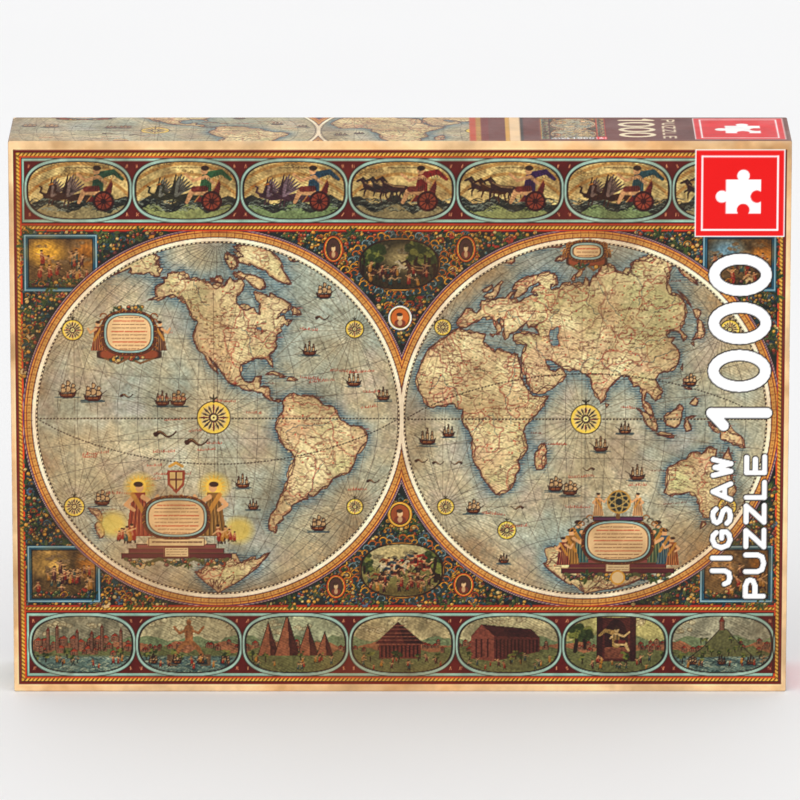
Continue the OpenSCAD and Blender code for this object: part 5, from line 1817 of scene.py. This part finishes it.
class Shader:
    """A material's node tree, with short ways to add and join nodes."""

    def __init__(self, name, **settings):
        self.material = bpy.data.materials.new(name)
        self.material.use_nodes = True
        self.tree = self.material.node_tree
        self.surface = self.tree.nodes["Principled BSDF"]
        for key, value in settings.items():
            self.surface.inputs[key.replace("_", " ").title().replace("Ior", "IOR")].default_value = value

    def node(self, kind, join=None, **settings):
        made = self.tree.nodes.new("ShaderNode" + kind)
        for key, value in settings.items():
            if hasattr(made, key):
                setattr(made, key, value)
            else:
                made.inputs[key.replace("_", " ")].default_value = value
        for key, source in (join or {}).items():
            self.tree.links.new(source, made.inputs[key])
        return made

    def noise(self, scale, detail=3.0, rough=0.6, stretch=None):
        """Noise over the object's own space, from 0 to 1."""
        where = self.node("TexCoord").outputs["Object"]
        if stretch:
            where = self.node("Mapping", {"Vector": where}, Scale=stretch).outputs["Vector"]
        return self.node("TexNoise", {"Vector": where}, Scale=scale, Detail=detail,
                         Roughness=rough).outputs["Fac"]

    def remap(self, value, low, high, to_low, to_high):
        limits = {"From_Min": low, "From_Max": high, "To_Min": to_low, "To_Max": to_high}
        return self.node("MapRange", {"Value": value}, **limits).outputs["Result"]

    def mix(self, kind, a, b, factor):
        """Mixes two colours: each is a socket or a colour, and so is the factor a socket or a number."""
        made = self.tree.nodes.new("ShaderNodeMix")
        made.data_type = "RGBA"
        made.blend_type = kind
        for socket, value in ((made.inputs[6], a), (made.inputs[7], b), (made.inputs[0], factor)):
            if isinstance(value, bpy.types.NodeSocket):
                self.tree.links.new(value, socket)
            else:
                socket.default_value = value
        return made.outputs[2]

    def math(self, operation, a, b=0.0):
        made = self.tree.nodes.new("ShaderNodeMath")
        made.operation = operation
        for socket, value in zip(made.inputs, (a, b)):
            if isinstance(value, bpy.types.NodeSocket):
                self.tree.links.new(value, socket)
            else:
                socket.default_value = value
        return made.outputs[0]

    def attribute(self, name, output="Color"):
        return self.node("Attribute", attribute_name=name).outputs[output]

    def colour(self, socket):
        self.tree.links.new(socket, self.surface.inputs["Base Color"])

    def roughness(self, socket):
        self.tree.links.new(socket, self.surface.inputs["Roughness"])

    def bump(self, height, distance, strength=1.0):
        made = self.node("Bump", {"Height": height}, Distance=distance, Strength=strength)
        self.tree.links.new(made.outputs["Normal"], self.surface.inputs["Normal"])


def grey(value):
    return (value, value, value, 1)


def printed_paper(name, roughness, worn):
    """Printed and varnished paper: the print, a fine linen grain, small scuffs and pale worn edges."""
    m = Shader(name, specular_ior_level=0.22, coat_weight=0.05, coat_roughness=0.3)
    grain = m.noise(2600, 2, 0.7)
    tone = m.mix("MULTIPLY", m.attribute("print"), m.mix("MIX", grey(0.94), grey(1.06), grain), 1.0)
    patchy = m.remap(m.noise(38, 5, 0.75), 0.44, 0.7, 0.15, 1)
    edge = m.math("MULTIPLY", m.attribute("wear", "Fac"), patchy)
    tone = m.mix("MIX", tone, (0.62, 0.55, 0.45, 1), m.math("MULTIPLY", edge, worn))
    m.colour(tone)
    m.roughness(m.remap(m.noise(60, 4), 0.3, 0.7, roughness - 0.06, roughness + 0.08))
    weave = m.math("ADD", m.noise(3000, 1, 0.5, (1, 1, 0.12)), m.noise(3000, 1, 0.5, (0.12, 1, 1)))
    m.bump(weave, 0.00004, 0.5)
    return m.material


def board(name):
    """Bare grey board: flecks of recycled fibre and a soft uneven surface."""
    m = Shader(name, specular_ior_level=0.2)
    base = m.mix("MIX", (0.30, 0.275, 0.235, 1), (0.44, 0.41, 0.36, 1), m.noise(90, 5, 0.65))
    fleck = m.remap(m.noise(1500, 2, 0.6), 0.66, 0.72, 0, 1)
    base = m.mix("MIX", base, (0.12, 0.11, 0.10, 1), m.math("MULTIPLY", fleck, 0.7))
    pale = m.remap(m.noise(1900, 2, 0.6, (1, 0.3, 1)), 0.68, 0.74, 0, 1)
    m.colour(m.mix("MIX", base, (0.68, 0.66, 0.60, 1), m.math("MULTIPLY", pale, 0.6)))
    m.roughness(m.remap(m.noise(300, 3), 0.3, 0.7, 0.82, 0.95))
    m.bump(m.noise(1400, 4, 0.7), 0.00008, 0.6)
    return m.material


def kraft(name):
    """Brown gummed paper with fibres along its length."""
    m = Shader(name, specular_ior_level=0.25)
    fibre = m.noise(700, 4, 0.7, (1, 0.15, 1))
    base = m.mix("MIX", (0.42, 0.27, 0.14, 1), (0.58, 0.42, 0.25, 1), fibre)
    m.colour(m.mix("MULTIPLY", base, m.mix("MIX", grey(0.85), grey(1.05), m.noise(120, 3)), 1.0))
    m.roughness(m.remap(fibre, 0.3, 0.7, 0.6, 0.78))
    m.bump(fibre, 0.00005, 0.6)
    return m.material


def puzzle_face(name):
    """Die-cut board: the print on its face, grey cut sides and a blue-grey back, all with a linen grain."""
    m = Shader(name, specular_ior_level=0.3, coat_weight=0.1, coat_roughness=0.35)
    grain = m.mix("MIX", grey(0.9), grey(1.08), m.noise(1800, 3, 0.7))
    m.colour(m.mix("MULTIPLY", m.attribute("print"), grain, 1.0))
    m.roughness(m.remap(m.noise(400, 3), 0.3, 0.7, 0.42, 0.62))
    m.bump(m.math("ADD", m.noise(2400, 1, 0.5, (1, 1, 0.12)), m.noise(2400, 1, 0.5, (0.12, 1, 1))), 0.00005,
           0.5)
    return m.material


def clear_film(name):
    """Thin clear film: mostly seen through, with soft crinkles and a broad gloss."""
    m = Shader(name, roughness=0.12, specular_ior_level=1.0, alpha=0.09)
    m.colour(m.mix("MIX", (0.9, 0.93, 0.95, 1), (1, 1, 1, 1), m.noise(70, 4)))
    m.bump(m.math("ADD", m.noise(130, 5, 0.65), m.noise(420, 3, 0.6, (1, 1, 0.3))), 0.0006, 0.5)
    return m.material


def sachet_skin(name):
    """White sachet film with a slight sheen and fine crinkles."""
    m = Shader(name, specular_ior_level=0.5, roughness=0.32)
    m.colour(m.mix("MULTIPLY", m.attribute("print"), m.mix("MIX", grey(0.93), grey(1.02), m.noise(60, 4)),
                   1.0))
    m.bump(m.noise(210, 5, 0.7), 0.0003, 0.6)
    return m.material


def leaflet_face(name):
    """Uncoated paper with its print, faint fibres and a soft cockle."""
    m = Shader(name, specular_ior_level=0.2)
    m.colour(m.mix("MULTIPLY", m.attribute("print"), m.mix("MIX", grey(0.95), grey(1.02),
                                                           m.noise(800, 4, 0.7)), 1.0))
    m.roughness(m.remap(m.noise(200, 3), 0.3, 0.7, 0.72, 0.86))
    m.bump(m.noise(1300, 4, 0.7), 0.00003, 0.5)
    return m.material


def powder(name):
    """Fine off-white powder with small lumps."""
    m = Shader(name, specular_ior_level=0.1, roughness=0.95)
    m.colour(m.mix("MIX", (0.80, 0.77, 0.69, 1), (0.93, 0.91, 0.85, 1), m.noise(700, 4, 0.7)))
    m.bump(m.noise(1500, 4, 0.8), 0.0002, 0.8)
    return m.material


def floor_paint(name):
    m = Shader(name, specular_ior_level=0.2)
    m.colour(m.mix("MIX", (0.88, 0.88, 0.885, 1), (0.9, 0.9, 0.905, 1), m.noise(3, 2)))
    m.roughness(m.remap(m.noise(8, 3), 0.3, 0.7, 0.6, 0.7))
    return m.material


def give(piece, material, body, slot, *nodes):
    """Material, body and the CAD nodes that a piece stands for. The slot is not used."""
    piece.data.materials.clear()
    piece.data.materials.append(material)
    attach(piece, body)
    if nodes:
        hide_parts(*nodes)
    return piece


def repaint(node, material):
    """A better material on a CAD node that stays."""
    for slot in NODES[node].material_slots:
        slot.material = material


# ------------------------------------------------------------ box

MID_TONE, CONTRAST = 0.6, 1.16


def make_box(rng):
    low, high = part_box("lid_wrap")
    lid = [1000 * (b - a) for a, b in zip(low, high)]
    front_y = 1000 * low[1]
    front = paint_front(rng)
    front.rgb = crisp(front.rgb)
    walls = [paint_wall(front, lid[n % 2 * 2], rng, n == 0) for n in range(4)]
    sheet = folded_sheet("lid_print", lid[0], lid[2], lid[1], 0.42, 0.7, front, walls,
                         lambda p: np.stack([p[:, 0], p[:, 1] + front_y, p[:, 2] + lid[2] / 2], 1))
    give(sheet, printed_paper("lid_print", 0.42, 0.5), "lid", "lid_print", "lid_wrap")

    low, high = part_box("tray_wrap")
    tray = [1000 * (b - a) for a, b in zip(low, high)]
    back_y, middle_z = 1000 * high[1], 500 * (low[2] + high[2])
    back = paint_tray_back(front, tray[0] / 2, tray[2] / 2, rng)
    walls = [paint_tray_wall(tray[n % 2 * 2], tray[1] + 16, rng) for n in range(4)]
    sheet = folded_sheet("tray_print", tray[0], tray[2], tray[1], 0.8, 2.0, back, walls,
                         lambda p: np.stack([-p[:, 0], back_y - p[:, 1], p[:, 2] + middle_z], 1))
    give(sheet, printed_paper("tray_print", 0.45, 0.45), "tray", "tray_print", "tray_wrap")
    for node in ("lid_board", "tray_board"):
        repaint(node, board(node + "_grey"))
    for node in ("lid_corner_stays", "tray_corner_stays"):
        repaint(node, kraft(node + "_kraft"))
    return front


def crisp(rgb):
    """A sharper copy with more contrast, so that fine lines stay clear on the mesh's grid."""
    rgb = rgb + 0.45 * (rgb - blur(rgb, 2))
    return np.clip(MID_TONE + CONTRAST * (rgb - MID_TONE), 0.01, 1)


# ------------------------------------------------------------ the pieces of the puzzle

GRID = (40, 25)
CELL_W, CELL_H, PIECE_T, TAB_R, TAB_OUT, KERF = 17.0, 19.2, 1.9, 2.8, 2.2, 0.1
BEVEL = 0.18
LAYER = 2.2
COLUMNS, ROWS = 11, 7
ROW_PITCH = 29.8
SHUFFLE = 617
FAMILIES = ("four_socket", "one_tab", "adjacent_tab", "three_tab", "four_tab", "opposite_tab", "edge",
            "corner")


def chance(i, k):
    """The CAD source's repeatable number from 0 to 1."""
    v = math.sin(math.radians(i * 127.1 + k * 311.7)) * 43758.5453
    return v - math.floor(v)


def weight(row):
    return (1 - ((row + 0.5) / ROWS) ** 3.2) ** 0.75


def first_in(column, row):
    """The number of the first piece of a stack."""
    total = sum(weight(r) for r in range(ROWS))
    return math.floor(1000 * (column + sum(weight(r) for r in range(row)) / total) / COLUMNS + 0.5)


def bulge(column, row, way):
    flip = -1 if chance(column * 3.7 + row * 9.1, way + 2) < 0.22 else 1
    return flip * (1 if (column + row + way) % 2 == 0 else -1)


def edges_of(column, row):
    return (0 if column == GRID[0] - 1 else bulge(column, row, 0),
            0 if row == GRID[1] - 1 else bulge(column, row, 1),
            0 if column == 0 else -bulge(column - 1, row, 0), 0 if row == 0 else -bulge(column, row - 1, 1))


def family(edges):
    straight, tabs = edges.count(0), edges.count(1)
    if straight:
        return FAMILIES[5 + straight]
    return "opposite_tab" if tabs == 2 and edges[0] == edges[2] else FAMILIES[tabs]


def outline(edges, inset=0.0):
    """A piece's outline in its own plane: straight edges, and round tabs and sockets."""
    out = []
    for side, edge in enumerate(edges):
        half, other = (CELL_W / 2, CELL_H / 2) if side % 2 == 0 else (CELL_H / 2, CELL_W / 2)
        face = half - KERF / 2 - inset
        path = [(face, -(other - KERF / 2 - inset))]
        if edge:
            middle = half + edge * TAB_OUT
            r = TAB_R - edge * KERF / 2 - edge * inset
            away = math.acos(min(1.0, (TAB_OUT + edge * (KERF / 2 + inset)) / r))
            for t in np.linspace(math.pi - away, -(math.pi - away), 11):
                path.append((middle + edge * r * math.cos(t), -r * math.sin(t)))
        c, s = [(1, 0), (0, 1), (-1, 0), (0, -1)][side]
        out += [(n * c - t * s, n * s + t * c) for n, t in path]
    return np.array(out)


def sheet_colours(picture, place, flat):
    """The part of the printed picture on one piece: the whole picture spans the finished puzzle."""
    column, row = place % GRID[0], place // GRID[0]
    u = (column + 0.5 + flat[:, 0] / CELL_W) / GRID[0]
    v = (row + 0.5 + flat[:, 1] / CELL_H) / GRID[1]
    return picture.sample(-182.5 + 365 * u, 4 + 261 * v)


FILLED = {}  # faces already divided, by their edges


def filled(edges):
    """A piece's face as points, its outline first, and triangles fine enough to carry the print."""
    if edges not in FILLED:
        rim = outline(edges, BEVEL)
        gx, gy = np.meshgrid(np.arange(-13.0, 13.1, 1.0), np.arange(-14.0, 14.1, 1.0))
        points = np.concatenate([rim, np.column_stack([gx.ravel(), gy.ravel()])])
        n = len(rim)
        made = delaunay_2d_cdt([Vector(p) for p in points], [], [list(range(n))], 1, 1e-5)
        order = {before: after for after, all_before in enumerate(made[3]) for before in all_before}
        keep = [order[k] for k in range(n)]
        keep += sorted({k for face in made[2] for k in face} - set(keep))
        place = {k: new for new, k in enumerate(keep)}
        FILLED[edges] = (np.array([made[0][k] for k in keep]),
                         np.array([[place[k] for k in face] for face in made[2]]))
    return FILLED[edges]


def one_piece(picture, place, edges, shown):
    """Points, faces and colours of one piece, flat and centred, its picture side towards +z."""
    rim = outline(edges)
    n = len(rim)
    flat, triangles = filled(edges) if shown else (outline(edges, BEVEL), None)
    half = PIECE_T / 2
    layers = [(rim, -half), (rim, half - BEVEL), (flat, half)]
    points = np.concatenate([np.column_stack([ring, np.full(len(ring), z)]) for ring, z in layers])
    colours = np.concatenate([np.tile([[0.46, 0.50, 0.53]], (n, 1)), np.full((n, 3), 0.45),
                              sheet_colours(picture, place, flat)])
    i = np.arange(n)
    k = (i + 1) % n
    faces = [np.stack([r * n + i, r * n + k, (r + 1) * n + k, (r + 1) * n + i], 1) for r in range(2)]
    faces += [i[None, ::-1], 2 * n + (i[None, :] if triangles is None else triangles)]
    return points, faces, colours


def make_pieces(picture):
    """All the pieces of the puzzle in the heap, each in the place that the CAD gives it."""
    low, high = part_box("bag_film")
    heap_w = 1000 * (high[0] - low[0]) - 1.2
    foot, back = 1000 * low[2] + 0.6, 1000 * high[1] - 0.6
    column_pitch = heap_w / COLUMNS
    groups = {}
    fronts = np.zeros((COLUMNS, ROWS))
    for column in range(COLUMNS):
        for row in range(ROWS):
            first = first_in(column, row)
            size = first_in(column, row + 1) - first
            for layer in range(size):
                i = first + layer
                place = i * SHUFFLE % 1000
                edges = edges_of(place % GRID[0], place // GRID[0])
                shown = layer < 2 or layer == size - 1
                at = ((column + 0.5) * column_pitch - heap_w / 2, back - (size - layer - 0.5) * LAYER,
                      foot + (row + 0.5) * ROW_PITCH)
                groups.setdefault(family(edges) if shown else "inner",
                                  []).append((i, place, edges, at, shown))
            fronts[column, row] = size * LAYER
    for name, members in sorted(groups.items()):
        points, faces, colours = [], {}, []
        first = 0
        for i, place, edges, at, shown in members:
            p, parts, c = one_piece(picture, place, edges, shown)
            turn = math.radians(90 * math.floor(4 * chance(i, 7)) + 16 * (chance(i, 9) - 0.5))
            x = p[:, 0] * math.cos(turn) - p[:, 1] * math.sin(turn)
            y = p[:, 0] * math.sin(turn) + p[:, 1] * math.cos(turn)
            way = 1 if chance(i, 5) > 0.4 else -1
            points.append(np.column_stack([at[0] + x, at[1] - way * p[:, 2], at[2] + way * y]))
            for part in parts:
                faces.setdefault(part.shape[1], []).append(part + first)
            colours.append(c)
            first += len(p)
        faces = [np.concatenate(group) for group in faces.values()]
        piece = build_mesh(name + "_cut", np.concatenate(points) / 1000, faces, np.concatenate(colours),
                           False)
        node = "inner_pieces" if name == "inner" else name + "_pieces"
        give(piece, puzzle_face(name + "_board"), "bag", "puzzle_board", node)
    return fronts


# ------------------------------------------------------------ bag, leaflet and sachet

SEAL_H, SEAL_ROWS = 12.0, 13  # height of the bag's flat seal, and its rows of points
BAG_GRID = 2.0
STACK_HALF = 13.6  # half a side of the film's rest on a stack
HEAP_GAP = 0.6  # gap between the heap and the bag's sides


def make_bag(fronts, rng):
    """The bag: a film over the heap, closed in a flat double strip with pressed ribs."""
    low, high = box_mm("bag_film")
    w, d = high[0] - low[0], high[1] - low[1]
    body_h = high[2] - low[2] - SEAL_H
    nx, nz = int(w / BAG_GRID) + 1, int(body_h / BAG_GRID) + 1
    x, z = np.linspace(0, w, nx), np.linspace(0, body_h, nz)
    film = film_depth(x, z, w, d, body_h, fronts, rng)
    top = body_h + np.linspace(0, SEAL_H, SEAL_ROWS)
    rib = 0.45 + 0.12 * np.sin((top - body_h) * 2.6) * ((top > body_h + 2) & (top < body_h + SEAL_H - 2))
    ribs = np.tile(rib[:, None], (1, nx))
    points = two_sheets(low, high[1], x, z, film) + two_sheets(low, high[1], x, top, ribs)
    faces = shell_faces(nz, nx) + shell_faces(SEAL_ROWS, nx, 2 * nx * nz)
    bag = build_mesh("bag_skin", np.concatenate(points) / 1000, faces)
    give(bag, clear_film("bag_clear"), "bag", "bag_film", "bag_film")


def two_sheets(low, back, x, z, depth):
    """Points of a sheet at a depth before the back plane, and of a flat one on it."""
    gx, gz = np.meshgrid(x, z)
    rear = np.full(gx.shape, back - 0.02)
    return [np.stack([low[0] + gx, y, low[2] + gz], -1).reshape(-1, 3) for y in (back - depth, rear)]


def film_depth(x, z, w, d, body_h, fronts, rng):
    """The film's depth over a grid: it lies over the heap, sinks between the stacks, closes at the ends."""
    pitch = (w - 2 * HEAP_GAP) / COLUMNS
    c = (x - HEAP_GAP) / pitch - 0.5
    r = (z - HEAP_GAP) / ROW_PITCH - 0.5
    ci = np.clip(np.round(c).astype(int), 0, COLUMNS - 1)
    ri = np.clip(np.round(r).astype(int), 0, ROWS - 1)
    over_x = np.abs(c - ci) * pitch < STACK_HALF
    over_z = np.abs(r - ri) * ROW_PITCH < STACK_HALF
    held = np.where(over_x[None, :] & over_z[:, None], fronts[ci][:, ri].T + 0.9, 3.0)
    spread = held.copy()
    for dz in (-1, 0, 1):
        for dx in (-1, 0, 1):
            spread = np.maximum(spread, np.roll(np.roll(held, dz, 0), dx, 1))
    film = np.maximum(blur(spread, 3), spread)
    film = np.maximum(blur(film, 1), spread)
    crease = np.abs(noise(film.shape, 16, rng, 4))
    film = film + 0.9 * (0.5 - crease) * np.clip((film - 3) / 8, 0, 1)
    limit = np.array([row_limit(height, d, body_h, fronts) for height in z])[:, None]
    shoulder = np.clip((body_h - z) / 13.0, 0, 1)[:, None]
    film = np.minimum(film, limit - 0.05)
    film = np.maximum(np.minimum(film, 0.9 + (d - 1) * shoulder), 0.9)
    ends = np.clip(np.minimum(x, w - x) / 0.5, 0, 1)[None, :]
    film = 0.35 + (film - 0.35) * (0.15 + 0.85 * ends)
    foot = np.clip(z / 0.6, 0, 1)[:, None]
    return 0.35 + (film - 0.35) * (0.1 + 0.9 * foot)


def row_limit(z, d, body_h, fronts):
    """How far forward the CAD film stands at a height."""
    depths = [fronts[:, r].max() + 0.3 for r in range(ROWS)]
    heights = [0.0] + [0.6 + (r + 1) * ROW_PITCH for r in range(ROWS)] + [body_h]
    fronts_at = [d] + [d - depths[0] + depth for depth in depths] + [0.6]
    return float(np.interp(z, heights, fronts_at))


def make_leaflet(rng):
    """The folded leaflet: three panels with round folds and a plain printed guide."""
    low, high = box_mm("leaflet")
    w, h, d = high[0] - low[0], high[2] - low[2], high[1] - low[1]
    step = (d - 0.2) / 2
    r = step / 2
    xs = np.linspace(-w / 2 + r + 0.12, w / 2 - r - 0.12, 40)
    path = [(a, 0.1) for a in np.linspace(xs[0], xs[-1], 180)]
    bend = np.linspace(0.3, math.pi - 0.3, 6)
    path += [(xs[-1] + r * math.sin(t), 0.1 + r - r * math.cos(t)) for t in bend]
    path += [(a, 0.1 + step) for a in xs[::-1]]
    path += [(xs[0] - r * math.sin(t), 0.1 + step + r - r * math.cos(t)) for t in bend]
    path += [(a, 0.1 + 2 * step) for a in xs]
    path = np.array(path)
    z = np.linspace(0, h, 130)
    ahead = np.gradient(path, axis=0)
    ahead /= np.linalg.norm(ahead, axis=1, keepdims=True)
    normal = np.column_stack([-ahead[:, 1], ahead[:, 0]])
    sheets = [path - 0.07 * normal, path + 0.07 * normal]
    points, colours = [], []
    guide = paint_guide(w, h, rng)
    for side, line in enumerate(sheets):
        px, pz = np.meshgrid(line[:, 0], z)
        py, _ = np.meshgrid(line[:, 1], z)
        points.append(np.stack([px.ravel() + (low[0] + high[0]) / 2, low[1] + py.ravel(),
                                low[2] + pz.ravel()], 1))
        tone = guide.sample(px.ravel() + w / 2, pz.ravel())
        if side:
            tone = np.full_like(tone, 0.93)
        colours.append(tone)
    faces = shell_faces(len(z), len(path))
    piece = build_mesh("leaflet_sheet", np.concatenate(points) / 1000, faces, np.concatenate(colours))
    give(piece, leaflet_face("leaflet_paper"), "folded_leaflet", "leaflet_paper", "leaflet")


def paint_guide(w, h, rng):
    """A plain guide: a row of piece shapes, bars in place of writing and a simple border."""
    p = Print((0, 0), (w, h), 0.5)
    p.flood((240, 236, 224))
    p.frame(6, 6, w - 6, h - 6, 0.8, (110, 60, 44))
    for k in range(4):
        jigsaw_mark(p, 32 + 45 * k, h - 34, 7.5, [(176, 74, 50), (206, 158, 72), (96, 128, 132),
                                                  (120, 132, 80)][k])
    scribble(p, 16, 18, w - 16, h - 62, 9, (70, 62, 56), rng, 0.8, 0.9)
    return p


def make_sachet(rng):
    """The glue sachet: two films that bulge over the powder, with ribbed crimps at both ends."""
    low, high = box_mm("sachet_film")
    w, h, d = high[0] - low[0], high[2] - low[2], high[1] - low[1]
    x, z = np.linspace(-1, 1, 61), np.linspace(0, h, 121)
    gx, gz = np.meshgrid(x, z)
    crimp = np.clip((np.minimum(gz, h - gz) - 8.0) / 5.0, 0, 1)
    body = crimp * crimp * (3 - 2 * crimp)
    swell = (1 - gx ** 2) * body * (d / 2 - 0.6)
    puff = 0.35 * np.abs(noise(gx.shape, 16, rng, 3)) * body * (1 - gx ** 6)
    ribs = 0.12 * np.sin(gz * 3.4) * (np.minimum(gz, h - gz) < 7.4)
    middle = (low[1] + high[1]) / 2
    sides = []
    for way in (-1, 1):
        y = middle + way * (0.22 + swell - puff * (swell > 0.8)) + ribs * 0.8
        sides.append(np.stack([(low[0] + high[0]) / 2 + gx * (w / 2 - 0.02), y, low[2] + gz],
                              -1).reshape(-1, 3))
    p = Print((0, 0), (w, h), 0.4)
    p.flood((244, 243, 240))
    p.box(8, 20, w - 8, h - 22, (232, 228, 214))
    p.frame(8, 20, w - 8, h - 22, 0.7, (60, 98, 120))
    jigsaw_mark(p, w / 2 - 9, h - 40, 6, (60, 98, 120))
    jigsaw_mark(p, w / 2 + 8.5, h - 40, 6, (196, 88, 52))
    scribble(p, 13, 25, w - 13, 44, 5, (70, 78, 84), rng, 0.8, 0.8)
    tone = p.sample((gx.ravel() + 1) * w / 2, gz.ravel())
    faces = shell_faces(len(z), len(x))
    piece = build_mesh("sachet_skin", np.concatenate(sides) / 1000, faces, np.concatenate([tone, tone]))
    give(piece, sachet_skin("sachet_white"), "glue_sachet", "sachet_film", "sachet_film")
    repaint("glue_powder", powder("glue_grains"))


# ------------------------------------------------------------ stage

FLOOR_SIZE = 60.0
CAMERA_AIM = (0.0, 0.0, 0.1372)
CAMERA_TILT = 14.0
CAMERA_DISTANCE = 4.0
CAMERA_LENS = 376.0


def make_stage():
    points = [(x * FLOOR_SIZE, y * FLOOR_SIZE, -0.00002) for y in (-1, 1) for x in (-1, 1)]
    floor = build_mesh("floor", points, [grid_faces(2, 2)])
    floor.data.materials.append(floor_paint("floor_paint"))

    studio = bpy.data.worlds.new("studio")
    bpy.context.scene.world = studio
    studio.use_nodes = True
    sky = studio.node_tree.nodes["Background"]
    sky.inputs["Color"].default_value = (1, 1, 1, 1)
    sky.inputs["Strength"].default_value = 0.92
    sun("key", (-0.5, -1.0, 1.1), 0.45)
    sun("fill", (0.7, -0.9, 0.7), 0.22)

    scene = bpy.context.scene
    scene.view_settings.view_transform = "Standard"
    camera = bpy.data.cameras.new("camera")
    camera.lens = CAMERA_LENS
    camera.sensor_width = 36.0
    camera.clip_end = 100.0
    seen = bpy.data.objects.new("camera", camera)
    scene.collection.objects.link(seen)
    scene.camera = seen
    tilt = math.radians(CAMERA_TILT)
    seen.location = Vector(CAMERA_AIM) + CAMERA_DISTANCE * Vector((0, -math.cos(tilt), math.sin(tilt)))
    seen.rotation_euler = (math.pi / 2 - tilt, 0, 0)


def sun(name, way, strength):
    """A soft, wide light from a direction."""
    light = bpy.data.lights.new(name, "SUN")
    light.angle = math.radians(50)
    light.energy = strength
    made = bpy.data.objects.new(name, light)
    bpy.context.scene.collection.objects.link(made)
    made.rotation_euler = Vector(way).to_track_quat("Z", "Y").to_euler()


def main():
    rng = np.random.default_rng(7)
    picture = make_box(rng)
    fronts = make_pieces(picture)
    make_bag(fronts, rng)
    make_leaflet(rng)
    make_sachet(rng)
    make_stage()


main()
